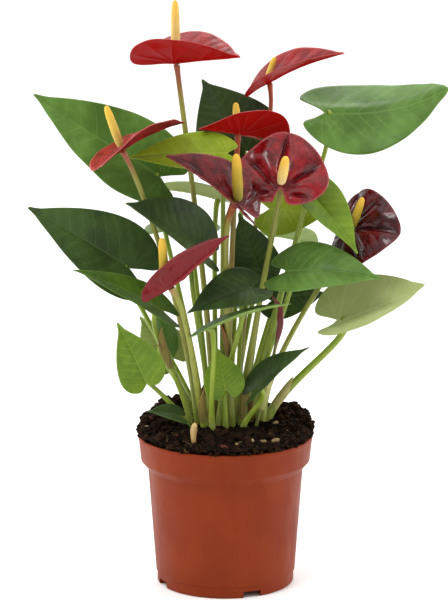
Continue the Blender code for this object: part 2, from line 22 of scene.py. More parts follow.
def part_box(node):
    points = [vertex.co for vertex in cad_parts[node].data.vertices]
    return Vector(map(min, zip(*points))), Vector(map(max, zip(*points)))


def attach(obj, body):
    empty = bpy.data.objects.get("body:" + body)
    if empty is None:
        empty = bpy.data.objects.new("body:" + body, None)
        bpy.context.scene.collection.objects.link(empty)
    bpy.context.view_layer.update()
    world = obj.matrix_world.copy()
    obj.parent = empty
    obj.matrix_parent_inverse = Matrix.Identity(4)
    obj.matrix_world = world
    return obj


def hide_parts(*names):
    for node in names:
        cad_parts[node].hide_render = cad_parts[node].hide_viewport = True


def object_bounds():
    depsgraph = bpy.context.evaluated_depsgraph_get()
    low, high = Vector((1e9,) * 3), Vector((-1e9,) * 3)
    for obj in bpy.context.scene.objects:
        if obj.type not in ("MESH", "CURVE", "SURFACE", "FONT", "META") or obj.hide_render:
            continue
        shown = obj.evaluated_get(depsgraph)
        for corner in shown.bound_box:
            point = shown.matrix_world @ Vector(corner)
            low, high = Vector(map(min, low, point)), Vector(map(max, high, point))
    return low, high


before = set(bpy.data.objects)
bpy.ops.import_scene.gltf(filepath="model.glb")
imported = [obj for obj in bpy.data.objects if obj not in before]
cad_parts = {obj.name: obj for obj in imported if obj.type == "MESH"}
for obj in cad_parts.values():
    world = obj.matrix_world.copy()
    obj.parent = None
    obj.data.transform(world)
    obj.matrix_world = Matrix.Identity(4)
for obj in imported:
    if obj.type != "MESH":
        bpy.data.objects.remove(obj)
CAD_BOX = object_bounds()

log = logging.getLogger("anthurium")

MM = 0.001
BODY = "root"
MERGE = 0.01 * MM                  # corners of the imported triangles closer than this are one
LEVEL = 0.02 * MM                  # a flat cut end is level to this
RIM_TOLERANCE = 0.0005 * MM        # a rim edge is as long as the blade is thick, to this
STALK_RINGS = 9                    # rings of the plain stalks and stems
STALK_FOOT = 1.45                  # a plain leaf stalk's radius in the soil against the rest of it
STEM_FOOT = 1.25                   # and a plain flower stem's
LEAF_SHEET = 0.8 * MM              # thickness of the plain leaf blades
SPATHE_SHEET = 0.9 * MM            # and of the plain spathes
TINY = 1e-6                        # keeps an angle from having no length

Colour = tuple[float, float, float]
Chart = dict[str, np.ndarray]      # measures of a blade's vertices, by name
Value = bpy.types.NodeSocket | float | Colour


class Slot(Enum):
    """Material slot names that the pieces are handed over with; nothing here reads them."""

    LEAF = "leaf_green"
    STALK = "stalk_green"
    SPATHE = "spathe_red"
    SPADIX = "spadix_yellow"
    PLASTIC = "terracotta_plastic"
    PEAT = "peat_soil"
    SHOOT = "shoot_tan"


def srgb(red: int, green: int, blue: int) -> Colour:
    """Turn display values from 0 to 255 into a linear colour.

    Args:
        red: red display value.
        green: green display value.
        blue: blue display value.

    Returns:
        The linear colour.
    """
    linear = []
    for value in (red, green, blue):
        share = value / 255
        linear.append(share / 12.92 if share <= 0.04045 else ((share + 0.055) / 1.055) ** 2.4)
    return tuple(linear)


# ---------------------------------------------------------------- materials
class Recipe:
    """A Principled material put together node by node."""

    def __init__(self, name: str, roughness: float, specular: float = 0.5,
                 coat: float = 0.0, coat_roughness: float = 0.1) -> None:
        """Start a material with its even values set on the shader.

        Args:
            name: name of the material.
            roughness: roughness where nothing is linked.
            specular: level of the plain reflection.
            coat: weight of the clear waxy coat.
            coat_roughness: roughness of that coat.
        """
        self.material = bpy.data.materials.new(name)
        self.material.use_nodes = True
        self.tree = self.material.node_tree
        self.shader = self.tree.nodes["Principled BSDF"]
        self.shader.inputs["Roughness"].default_value = roughness
        self.shader.inputs["Specular IOR Level"].default_value = specular
        self.shader.inputs["Coat Weight"].default_value = coat
        self.shader.inputs["Coat Roughness"].default_value = coat_roughness

    def _feed(self, socket: bpy.types.NodeSocket, value: Value) -> None:
        """Link a socket to another, or set its plain value.

        Args:
            socket: the input to feed.
            value: an output, a number or a colour.
        """
        if isinstance(value, bpy.types.NodeSocket):
            self.tree.links.new(value, socket)
        elif isinstance(value, tuple) and len(value) == 3 and socket.type == "RGBA":
            socket.default_value = (*value, 1.0)
        else:
            socket.default_value = value

    def attribute(self, name: str) -> bpy.types.NodeSocket:
        """Read a number stored on the mesh.

        Args:
            name: name of the attribute.

        Returns:
            Its value.
        """
        node = self.tree.nodes.new("ShaderNodeAttribute")
        node.attribute_name = name
        return node.outputs["Fac"]

    def place(self, stretch: Colour = (1.0, 1.0, 1.0)) -> bpy.types.NodeSocket:
        """Read object coordinates in millimetres.

        Args:
            stretch: factor along each axis; a small one draws a pattern out along it.

        Returns:
            The coordinates.
        """
        coordinates = self.tree.nodes.new("ShaderNodeTexCoord")
        mapping = self.tree.nodes.new("ShaderNodeMapping")
        mapping.inputs["Scale"].default_value = [value / MM for value in stretch]
        self.tree.links.new(coordinates.outputs["Object"], mapping.inputs["Vector"])
        return mapping.outputs["Vector"]

    def sums(self, operation: str, *values: Value) -> bpy.types.NodeSocket:
        """Return the result of a Math node.

        Args:
            operation: the node's operation, such as MULTIPLY.
            values: its inputs, as sockets or numbers.

        Returns:
            The output socket.
        """
        node = self.tree.nodes.new("ShaderNodeMath")
        node.operation = operation
        for socket, value in zip(node.inputs, values):
            self._feed(socket, value)
        return node.outputs[0]

    def fade(self, value: bpy.types.NodeSocket, low: Value, high: Value,
             start: float = 0.0, end: float = 1.0) -> bpy.types.NodeSocket:
        """Change smoothly from start to end as a value goes from low to high.

        Args:
            value: the value.
            low: where the change starts.
            high: where it ends.
            start: result up to low.
            end: result from high on.

        Returns:
            The result.
        """
        node = self.tree.nodes.new("ShaderNodeMapRange")
        node.interpolation_type = "SMOOTHSTEP"
        for name, given in (("Value", value), ("From Min", low), ("From Max", high),
                            ("To Min", start), ("To Max", end)):
            self._feed(node.inputs[name], given)
        return node.outputs["Result"]

    def cloud(self, size: float, detail: float = 3.0,
              where: bpy.types.NodeSocket | None = None) -> bpy.types.NodeSocket:
        """Make soft noise.

        Args:
            size: width of a blotch in millimetres.
            detail: octaves of finer noise.
            where: coordinates, if not the plain ones.

        Returns:
            The noise, around 0.5.
        """
        node = self.tree.nodes.new("ShaderNodeTexNoise")
        node.inputs["Scale"].default_value = 1.0 / size
        node.inputs["Detail"].default_value = detail
        self.tree.links.new(where or self.place(), node.inputs["Vector"])
        return node.outputs[0]

    def cells(self, size: float) -> bpy.types.NodeSocket:
        """Make a net of cells.

        Args:
            size: width of a cell in millimetres.

        Returns:
            The distance to the nearest cell wall.
        """
        node = self.tree.nodes.new("ShaderNodeTexVoronoi")
        node.feature = "DISTANCE_TO_EDGE"
        node.inputs["Scale"].default_value = 1.0 / size
        self.tree.links.new(self.place(), node.inputs["Vector"])
        return node.outputs["Distance"]

    def blend(self, share: Value, first: Value, second: Value) -> bpy.types.NodeSocket:
        """Mix two colours.

        Args:
            share: share of the second one, from 0 to 1.
            first: first colour.
            second: second colour.

        Returns:
            The mixed colour.
        """
        node = self.tree.nodes.new("ShaderNodeMix")
        node.data_type = "RGBA"
        self._feed(node.inputs[0], share)
        self._feed(node.inputs[6], first)
        self._feed(node.inputs[7], second)
        return node.outputs[2]

    def bump(self, height: bpy.types.NodeSocket, depth: float, strength: float = 1.0) -> None:
        """Emboss the surface, on top of what is already embossed.

        Args:
            height: the relief, from 0 to 1.
            depth: its height in millimetres.
            strength: how strongly it shows.
        """
        node = self.tree.nodes.new("ShaderNodeBump")
        node.inputs["Strength"].default_value = strength
        node.inputs["Distance"].default_value = depth * MM
        self.tree.links.new(height, node.inputs["Height"])
        before = self.shader.inputs["Normal"]
        if before.is_linked:
            self.tree.links.new(before.links[0].from_socket, node.inputs["Normal"])
        self.tree.links.new(node.outputs["Normal"], before)

    def finish(self, colour: bpy.types.NodeSocket,
               roughness: bpy.types.NodeSocket | None = None) -> bpy.types.Material:
        """Link the colour and the roughness.

        Args:
            colour: the base colour.
            roughness: the roughness, if it isn't even.

        Returns:
            The finished material.
        """
        self.tree.links.new(colour, self.shader.inputs["Base Color"])
        if roughness is not None:
            self.tree.links.new(roughness, self.shader.inputs["Roughness"])
        return self.material

    def off_vein(self) -> bpy.types.NodeSocket:
        """Return 0 on a side vein and 0.5 half-way to the next."""
        phase = self.attribute("vein")
        return self.sums("ABSOLUTE", self.sums("SUBTRACT", phase, self.sums("ROUND", phase)))

    def tone(self, broad: float, detail: float, fine: bpy.types.NodeSocket,
             share: float) -> bpy.types.NodeSocket:
        """Mix broad and fine noise.

        Args:
            broad: width of the broad blotches in millimetres.
            detail: their octaves.
            fine: the fine noise.
            share: share of the fine noise.

        Returns:
            The mixed noise.
        """
        clouds = self.sums("MULTIPLY", self.cloud(broad, detail), 1 - share)
        return self.sums("ADD", clouds, self.sums("MULTIPLY", fine, share))

    def veins(self, width: float, taper: float) -> bpy.types.NodeSocket:
        """Return 1 on the midrib and the side veins of a blade, and 0 between them.

        Args:
            width: half-width of a side vein where it leaves the midrib, in millimetres.
            taper: share of that width lost by the margin.

        Returns:
            The mask as a socket.
        """
        away = self.sums("MULTIPLY", self.off_vein(), self.attribute("pitch"))
        reach = self.attribute("reach")
        left = self.sums("SUBTRACT", 1.0, self.sums("MULTIPLY", reach, taper))
        half = self.sums("MULTIPLY", left, width)
        side = self.fade(away, 0.0, half, 1.0, 0.0)
        ends = self.fade(self.attribute("margin"), 1.0, 5.0)
        side = self.sums("MULTIPLY", side, ends)
        across = self.sums("ABSOLUTE", self.attribute("across"))
        tip = self.attribute("along_share")
        rib_width = self.sums("MULTIPLY", self.sums("SUBTRACT", 1.25, tip), 1.5 * width)
        rib = self.fade(across, self.sums("MULTIPLY", rib_width, 0.4), rib_width, 1.0, 0.0)
        rib = self.sums("MULTIPLY", rib, self.fade(tip, -0.05, 0.0))
        return self.sums("MAXIMUM", side, rib)


@dataclass(frozen=True)
class LeafFinish:
    """The waxy green of one leaf."""

    name: str
    light: Colour
    dark: Colour
    vein: Colour
    under: Colour
    roughness: float = 0.42
    vein_strength: float = 0.32

    def upper(self) -> bpy.types.Material:
        """Make the material of the upper face.

        Returns:
            The material.
        """
        recipe = Recipe(f"{self.name}_upper", self.roughness, specular=0.24)
        fine = recipe.cloud(3.0, 4.0)
        tone = recipe.tone(26.0, 2.0, fine, 0.25)
        base = recipe.blend(recipe.fade(tone, 0.34, 0.66), self.dark, self.light)
        base = recipe.blend(recipe.fade(recipe.off_vein(), 0.1, 0.5, 0.0, 0.2), base, self.dark)
        veins = recipe.veins(0.75, 0.6)
        base = recipe.blend(recipe.sums("MULTIPLY", veins, self.vein_strength), base, self.vein)
        edge = recipe.fade(recipe.attribute("margin"), 0.25, 0.9, 0.4, 0.0)
        base = recipe.blend(edge, base, self.vein)
        web = recipe.cells(2.6)
        recipe.bump(recipe.fade(web, 0.0, 0.16), 0.06, 0.5)
        recipe.bump(recipe.sums("SUBTRACT", 1.0, veins), 0.14, 0.5)
        rough = recipe.fade(fine, 0.3, 0.7, self.roughness - 0.05, self.roughness + 0.09)
        return recipe.finish(base, rough)

    def lower(self) -> bpy.types.Material:
        """Make the material of the paler, duller underside.

        Returns:
            The material.
        """
        recipe = Recipe(f"{self.name}_lower", 0.6, specular=0.2)
        tone = recipe.cloud(14.0, 3.0)
        base = recipe.blend(recipe.fade(tone, 0.3, 0.7, 0.0, 0.35), self.under, self.light)
        veins = recipe.veins(1.0, 0.5)
        base = recipe.blend(recipe.sums("MULTIPLY", veins, 0.55), base, self.vein)
        recipe.bump(veins, 0.35, 0.6)
        return recipe.finish(base)


@dataclass(frozen=True)
class SpatheFinish:
    """The lacquered red of one spathe, with a painted sheen along the margin of its upper face and painted
    shade in its fold troughs.
    """

    name: str
    light: Colour
    dark: Colour
    # painted sheen: a pale colour blended over the upper face along the margin, standing in for reflected
    # light
    painted_sheen: Colour
    under: Colour
    under_vein: Colour
    roughness: float = 0.2
    coat: float = 0.22
    under_roughness: float = 0.5
    under_specular: float = 0.05

    def upper(self) -> bpy.types.Material:
        """Make the material of the glossy upper face.

        Returns:
            The material.
        """
        recipe = Recipe(f"{self.name}_upper", self.roughness, 0.3, self.coat, coat_roughness=0.16)
        fine = recipe.cloud(2.2, 3.0)
        tone = recipe.tone(11.0, 3.0, fine, 0.3)
        base = recipe.blend(recipe.fade(tone, 0.35, 0.66), self.dark, self.light)
        veins = recipe.veins(1.3, 0.5)
        base = recipe.blend(recipe.sums("MULTIPLY", veins, 0.45), base, self.dark)
        # painted shade: the troughs between the folds are darkened towards a deeper red, as shade falls in
        # them
        deep = tuple(value * 0.45 for value in self.dark)
        base = recipe.blend(recipe.fade(recipe.attribute("crest"), -0.9, 0.1, 0.75, 0.0), base, deep)
        # painted sheen along the margin of the upper face
        edge = recipe.fade(recipe.attribute("margin"), 0.4, 1.6, 0.6, 0.0)
        base = recipe.blend(edge, base, self.painted_sheen)
        recipe.bump(recipe.cloud(4.2, 2.0), 0.5, 0.55)
        rough = recipe.fade(fine, 0.3, 0.7, self.roughness - 0.06, self.roughness + 0.12)
        return recipe.finish(base, rough)

    def lower(self) -> bpy.types.Material:
        """Make the material of the underside, with its paler veins.

        Returns:
            The material.
        """
        recipe = Recipe(f"{self.name}_lower", self.under_roughness, specular=self.under_specular)
        tone = recipe.cloud(9.0, 3.0)
        base = recipe.blend(recipe.fade(tone, 0.3, 0.7, 0.0, 0.45), self.under, self.light)
        veins = recipe.veins(0.5, 0.6)
        base = recipe.blend(recipe.sums("MULTIPLY", veins, 0.45), base, self.under_vein)
        recipe.bump(veins, 0.3, 0.6)
        recipe.bump(recipe.cloud(4.2, 2.0), 0.4, 0.5)
        return recipe.finish(base)


@dataclass(frozen=True)
class StalkFinish:
    """The colour run of a stalk or stem, from the soil to its upper end."""

    name: str
    low: Colour
    middle: Colour
    high: Colour
    mottle: Colour
    turn: tuple[float, float] = (0.8, 1.0)

    def material(self) -> bpy.types.Material:
        """Make the material.

        Returns:
            The material.
        """
        recipe = Recipe(self.name, 0.36, specular=0.45)
        share = recipe.attribute("stalk_share")
        base = recipe.blend(recipe.fade(share, 0.0, 0.35), self.low, self.middle)
        base = recipe.blend(recipe.fade(share, *self.turn), base, self.high)
        streaks = recipe.cloud(2.5, 3.0, recipe.place((1.0, 1.0, 0.12)))
        base = recipe.blend(recipe.fade(streaks, 0.48, 0.72, 0.0, 0.6), base, self.mottle)
        recipe.bump(streaks, 0.15, 0.5)
        return recipe.finish(base)


@dataclass(frozen=True)
class SpadixFinish:
    """The beaded spadix, which ripens from its foot to its tip."""

    name: str
    foot: Colour
    middle: Colour
    tip: Colour

    def material(self) -> bpy.types.Material:
        """Make the material.

        Returns:
            The material.
        """
        recipe = Recipe(self.name, 0.62, specular=0.3)
        share = recipe.attribute("stalk_share")
        base = recipe.blend(recipe.fade(share, 0.05, 0.5), self.foot, self.middle)
        base = recipe.blend(recipe.fade(share, 0.5, 0.92), base, self.tip)
        beads = recipe.attribute("bead")
        shade = tuple(value * 0.62 for value in self.middle)
        base = recipe.blend(recipe.fade(beads, 0.0, 0.6, 0.7, 0.0), base, shade)
        recipe.bump(recipe.cloud(0.6, 2.0), 0.08, 0.5)
        return recipe.finish(base)


@dataclass(frozen=True)
class PlasticFinish:
    """The satin terracotta plastic of the pot."""

    name: str
    light: Colour
    dark: Colour
    smear: Colour

    def material(self) -> bpy.types.Material:
        """Make the material.

        Returns:
            The material.
        """
        recipe = Recipe(self.name, 0.46, specular=0.14)
        broad = recipe.cloud(34.0, 2.0)
        streaks = recipe.cloud(7.0, 4.0, recipe.place((1.0, 1.0, 0.3)))
        base = recipe.blend(recipe.fade(broad, 0.35, 0.65), self.dark, self.light)
        base = recipe.blend(recipe.fade(streaks, 0.5, 0.8, 0.0, 0.15), base, self.smear)
        grain = recipe.cloud(0.7, 2.0)
        recipe.bump(grain, 0.03, 0.5)
        return recipe.finish(base, recipe.fade(streaks, 0.35, 0.7, 0.42, 0.56))


@dataclass(frozen=True)
class PeatFinish:
    """Dark crumbly peat, or loose bits in it."""

    name: str
    dark: Colour
    light: Colour
    toned: bool = False            # each bit has its own tone

    def material(self) -> bpy.types.Material:
        """Make the material.

        Returns:
            The material.
        """
        recipe = Recipe(self.name, 0.9, specular=0.08)
        grains = recipe.cloud(1.3, 5.0)
        share = recipe.fade(grains, 0.4, 0.72)
        if self.toned:
            share = recipe.sums("ADD", recipe.sums("MULTIPLY", share, 0.5),
                                recipe.sums("MULTIPLY", recipe.attribute("tone"), 0.5))
        base = recipe.blend(share, self.dark, self.light)
        recipe.bump(grains, 0.5, 0.9)
        return recipe.finish(base)


@dataclass(frozen=True)
class PaperFinish:
    """A dry papery bract, streaked along its length."""

    name: str
    low: Colour
    high: Colour
    streak: Colour

    def material(self) -> bpy.types.Material:
        """Make the material.

        Returns:
            The material.
        """
        recipe = Recipe(self.name, 0.6, specular=0.3)
        streaks = recipe.cloud(1.6, 3.0, recipe.place((1.0, 1.0, 0.1)))
        base = recipe.blend(recipe.attribute("stalk_share"), self.low, self.high)
        base = recipe.blend(recipe.fade(streaks, 0.45, 0.7, 0.0, 0.7), base, self.streak)
        recipe.bump(streaks, 0.2, 0.6)
        return recipe.finish(base)


YOUNG = LeafFinish("leaf_young", srgb(148, 166, 38), srgb(118, 142, 22),
                   srgb(168, 184, 78), srgb(162, 176, 78))
FRESH = LeafFinish("leaf_fresh", srgb(116, 144, 34), srgb(84, 114, 18),
                   srgb(140, 164, 66), srgb(140, 158, 74))
GRASS = LeafFinish("leaf_grass", srgb(76, 106, 20), srgb(50, 78, 10),
                   srgb(108, 134, 50), srgb(122, 144, 62))
MATURE = LeafFinish("leaf_mature", srgb(92, 130, 50), srgb(66, 100, 26),
                    srgb(118, 148, 74), srgb(138, 158, 86))
DEEP = LeafFinish("leaf_deep", srgb(62, 86, 36), srgb(40, 60, 22),
                  srgb(88, 112, 58), srgb(118, 138, 76))
SHADED = LeafFinish("leaf_shaded", srgb(50, 74, 24), srgb(28, 46, 11),
                    srgb(68, 90, 38), srgb(98, 118, 58))
SILVER = LeafFinish("leaf_silver", srgb(150, 164, 92), srgb(122, 140, 64),
                    srgb(178, 190, 132), srgb(166, 178, 116))

# each spathe's third colour is its painted sheen along the margin of the upper face
SCARLET = SpatheFinish("spathe_scarlet", srgb(150, 12, 14), srgb(108, 4, 7), srgb(190, 84, 82),
                       srgb(162, 6, 3), srgb(182, 42, 27), 0.28, coat=0.04)
ROSE = SpatheFinish("spathe_rose", srgb(170, 34, 44), srgb(118, 14, 22), srgb(200, 104, 100),
                    srgb(96, 18, 18), srgb(140, 52, 46), 0.28, coat=0.1)
CRIMSON = SpatheFinish("spathe_crimson", srgb(140, 14, 22), srgb(78, 5, 9), srgb(168, 70, 72),
                       srgb(104, 12, 14), srgb(140, 48, 42), 0.2)
GARNET = SpatheFinish("spathe_garnet", srgb(126, 14, 22), srgb(66, 5, 9), srgb(150, 64, 64),
                      srgb(108, 10, 16), srgb(146, 50, 50), 0.22, under_roughness=0.28, under_specular=0.25)
MAROON = SpatheFinish("spathe_maroon", srgb(114, 14, 20), srgb(58, 4, 8), srgb(136, 56, 58),
                      srgb(96, 10, 13), srgb(130, 46, 40), 0.22)
WINE = SpatheFinish("spathe_wine", srgb(92, 12, 18), srgb(40, 4, 7), srgb(108, 46, 48),
                    srgb(80, 10, 13), srgb(114, 48, 44), 0.18)

PETIOLE = StalkFinish("stalk_green", srgb(162, 172, 88), srgb(132, 152, 34), srgb(138, 156, 48),
                      srgb(96, 118, 22))
STEM = StalkFinish("stem_green", srgb(140, 152, 62), srgb(138, 142, 50), srgb(150, 120, 66),
                   srgb(100, 108, 34), (0.9, 1.0))
STEM_BLUSH = StalkFinish("stem_blushed", srgb(140, 152, 62), srgb(142, 140, 54), srgb(150, 74, 40),
                         srgb(108, 104, 36), (0.88, 0.98))
STEM_RED = StalkFinish("stem_reddened", srgb(136, 148, 56), srgb(140, 124, 54), srgb(170, 66, 36),
                       srgb(118, 88, 36), (0.8, 0.98))

BUD_RED = StalkFinish("bud_red", srgb(120, 134, 60), srgb(116, 122, 54), srgb(98, 10, 15), srgb(86, 70, 34),
                      (0.6, 0.7))
SHOOT_TAN = StalkFinish("shoot_papery", srgb(120, 92, 48), srgb(176, 146, 88), srgb(196, 170, 104),
                        srgb(112, 80, 44))
TERRACOTTA = PlasticFinish("pot_plastic", srgb(129, 47, 9), srgb(122, 42, 8), srgb(104, 37, 10))
PEAT = PeatFinish("peat", srgb(9, 5, 3), srgb(42, 26, 15))
CRUMB = PeatFinish("peat_crumbs", srgb(9, 5, 3), srgb(54, 33, 19), True)
CHIP = PeatFinish("pale_chips", srgb(104, 84, 52), srgb(196, 174, 128), True)
RED_CHIP = PeatFinish("bark_chips", srgb(62, 30, 24), srgb(112, 62, 48), True)
CREAM = PaperFinish("bract_cream", srgb(150, 158, 84), srgb(206, 192, 134), srgb(164, 146, 84))
TAWNY = PaperFinish("bract_tawny", srgb(124, 120, 58), srgb(150, 124, 66), srgb(104, 84, 44))
RUSSET = PaperFinish("bract_russet", srgb(120, 108, 50), srgb(134, 72, 44), srgb(96, 56, 34))

SPADIX_RIPE = SpadixFinish("spadix_ripe", srgb(236, 208, 150), srgb(240, 206, 118), srgb(246, 192, 66))
SPADIX_GOLD = SpadixFinish("spadix_gold", srgb(204, 184, 100), srgb(230, 198, 88), srgb(242, 194, 62))
SPADIX_GREEN = SpadixFinish("spadix_green", srgb(142, 136, 52), srgb(188, 160, 48), srgb(232, 182, 62))


# ---------------------------------------------------------------- modelling helpers
def deselect() -> None:
    """Leave object mode with nothing selected."""
    active = bpy.context.view_layer.objects.active
    if active is not None and active.mode != "OBJECT":
        bpy.ops.object.mode_set(mode="OBJECT")
    for item in bpy.context.selected_objects:
        item.select_set(False)


def focus(*pieces: bpy.types.Object) -> None:
    """Select only these pieces and make the first one active.

    Args:
        pieces: the pieces.
    """
    deselect()
    for piece in pieces:
        piece.select_set(True)
    bpy.context.view_layer.objects.active = pieces[0]


def apply_modifiers(piece: bpy.types.Object) -> None:
    """Apply every modifier of a piece, in order.

    Args:
        piece: the piece.
    """
    focus(piece)
    for modifier in list(piece.modifiers):
        bpy.ops.object.modifier_apply(modifier=modifier.name)


def edit_all(piece: bpy.types.Object, operator: Callable, **settings: object) -> None:
    """Run an edit-mode operator on a whole mesh.

    Args:
        piece: the piece.
        operator: an operator of bpy.ops.mesh.
        settings: what it is given.
    """
    focus(piece)
    bpy.ops.object.mode_set(mode="EDIT")
    bpy.ops.mesh.select_all(action="SELECT")
    operator(**settings)
    bpy.ops.object.mode_set(mode="OBJECT")


def add_object(name: str, data: bpy.types.ID | None) -> bpy.types.Object:
    """Add an object to the scene.

    Args:
        name: its name.
        data: its mesh, curve, light or camera.

    Returns:
        The object.
    """
    added = bpy.data.objects.new(name, data)
    bpy.context.scene.collection.objects.link(added)
    return added


def add_mesh(name: str, points: np.ndarray | list, faces: list[tuple[int, ...]],
             edges: list[tuple[int, int]] | None = None) -> bpy.types.Object:
    """Add a mesh object to the scene.

    Args:
        name: its name.
        points: its vertices.
        faces: its faces, as vertex numbers.
        edges: its edges, where it has no faces.

    Returns:
        The object.
    """
    mesh = bpy.data.meshes.new(name)
    mesh.from_pydata([tuple(point) for point in points], edges or [], faces)
    return add_object(name, mesh)


def add_tubes(name: str, runs: list[tuple[list, list[float]]], resolution: int) -> bpy.types.Object:
    """Add round tubes with closed ends, as one mesh.

    Args:
        name: its name.
        runs: each tube's points, and its radius at each of them.
        resolution: 0 for four sides, and two sides more for each step up.

    Returns:
        The object.
    """
    data = bpy.data.curves.new(name, "CURVE")
    data.dimensions = "3D"
    data.bevel_depth = 1.0
    data.bevel_resolution = resolution
    data.use_fill_caps = True
    for places, radii in runs:
        spline = data.splines.new("POLY")
        spline.points.add(len(places) - 1)
        for point, place, radius in zip(spline.points, places, radii):
            point.co = (*place, 1.0)
            point.radius = radius
    focus(add_object(name, data))
    bpy.ops.object.convert(target="MESH")
    piece = bpy.context.view_layer.objects.active
    piece.name = name
    return piece


def wear(piece: bpy.types.Object, material: bpy.types.Material, angle: float | None = None) -> None:
    """Dress a piece and shade it smooth.

    Args:
        piece: the piece.
        material: its material.
        angle: edges sharper than this many degrees stay sharp, if given.
    """
    piece.data.materials.append(material)
    focus(piece)
    if angle is None:
        bpy.ops.object.shade_smooth()
    else:
        bpy.ops.object.shade_smooth_by_angle(angle=math.radians(angle))


def coordinates(piece: bpy.types.Object) -> np.ndarray:
    """Read a piece's vertices.

    Args:
        piece: the piece.

    Returns:
        A row for each vertex.
    """
    flat = np.empty(len(piece.data.vertices) * 3)
    piece.data.vertices.foreach_get("co", flat)
    return flat.reshape(-1, 3)


def normals(piece: bpy.types.Object) -> np.ndarray:
    """Read a piece's vertex normals.

    Args:
        piece: the piece.

    Returns:
        A row for each vertex.
    """
    flat = np.empty(len(piece.data.vertices) * 3)
    piece.data.vertex_normals.foreach_get("vector", flat)
    return flat.reshape(-1, 3)


def move_to(piece: bpy.types.Object, points: np.ndarray) -> None:
    """Put a piece's vertices at new places."""
    piece.data.vertices.foreach_set("co", points.astype(np.float32).ravel())
    piece.data.update()


def store(piece: bpy.types.Object, name: str, values: np.ndarray) -> None:
    """Keep one number for each vertex on the mesh, for the materials.

    Args:
        piece: the piece.
        name: name of the attribute.
        values: the numbers.
    """
    mesh = piece.data
    kept = mesh.attributes.get(name) or mesh.attributes.new(name, "FLOAT", "POINT")
    kept.data.foreach_set("value", values.astype(np.float32))


def unit(vector: np.ndarray) -> np.ndarray:
    """Return a vector of the same direction, one unit long."""
    return vector / np.linalg.norm(vector)


def sideways(axis: np.ndarray) -> np.ndarray:
    """Return the level direction square to an axis."""
    return unit(np.cross(axis, (0.0, 1.0, 0.0)))


def smoothstep(values: np.ndarray, low: float, high: float) -> np.ndarray:
    """Return a smooth change from 0 to 1 as values go from low to high."""
    share = np.clip((values - low) / (high - low), 0.0, 1.0)
    return share * share * (3 - 2 * share)


def wander(points: np.ndarray, size: float, seed: float) -> np.ndarray:
    """Return smooth noise from -1 to 1 at each point, with waves about size long."""
    shift = Vector((seed, -seed, 2 * seed))
    return np.array([noise.noise(Vector(point) / size + shift) for point in points])


def smooth_line(points: np.ndarray, count: int) -> np.ndarray:
    """Return evenly shared points on a smooth curve through the given ones.

    Args:
        points: the points that the curve passes, in order.
        count: number of points returned, both ends included.

    Returns:
        The curve's points.
    """
    padded = np.vstack([2 * points[0] - points[1], points, 2 * points[-1] - points[-2]])
    result = []
    for place in np.linspace(0, len(points) - 1, count):
        index = min(int(place), len(points) - 2)
        t = place - index
        p0, p1, p2, p3 = padded[index:index + 4]
        result.append(0.5 * (2 * p1 + (p2 - p0) * t + (2 * p0 - 5 * p1 + 4 * p2 - p3) * t**2
                             + (3 * p1 - p0 - 3 * p2 + p3) * t**3))
    return np.array(result)


def lengths_along(line: np.ndarray) -> np.ndarray:
    """Return the distance run along a line at each of its points."""
    steps = np.linalg.norm(np.diff(line, axis=0), axis=1)
    return np.concatenate([[0.0], np.cumsum(steps)])


def nearest_on_line(points: np.ndarray, line: np.ndarray) -> tuple[np.ndarray, np.ndarray]:
    """Find for each point the nearest place on a line of points.

    Args:
        points: the points, one per row.
        line: the line's points in order.

    Returns:
        The distance run along the line there, and the nearest places.
    """
    run = lengths_along(line)
    best = np.full(len(points), np.inf)
    distance = np.zeros(len(points))
    place = np.zeros_like(points)
    for index in range(len(line) - 1):
        start, step = line[index], line[index + 1] - line[index]
        share = np.clip((points - start) @ step / (step @ step), 0.0, 1.0)
        foot = start + share[:, None] * step
        gap = np.linalg.norm(points - foot, axis=1)
        closer = gap < best
        best[closer] = gap[closer]
        distance[closer] = run[index] + share[closer] * (run[index + 1] - run[index])
        place[closer] = foot[closer]
    return distance, place


def hand_over(piece: bpy.types.Object, slot: Slot, *nodes: str) -> None:
    """Let a finished piece ride on the body and stand for its CAD nodes.

    Args:
        piece: the piece.
        slot: not used.
        nodes: the nodes that it replaces, if any.
    """
    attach(piece, BODY)
    if nodes:
        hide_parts(*nodes)
    log.info("%s: %d triangles", piece.name, sum(len(face.vertices) - 2 for face in piece.data.polygons))


# ---------------------------------------------------------------- reading the plain solids
def sides_of(face: tuple[int, ...]) -> list[tuple[int, int]]:
    """Return the pairs of vertices that a face's sides join."""
    return list(zip(face, face[1:] + face[:1]))


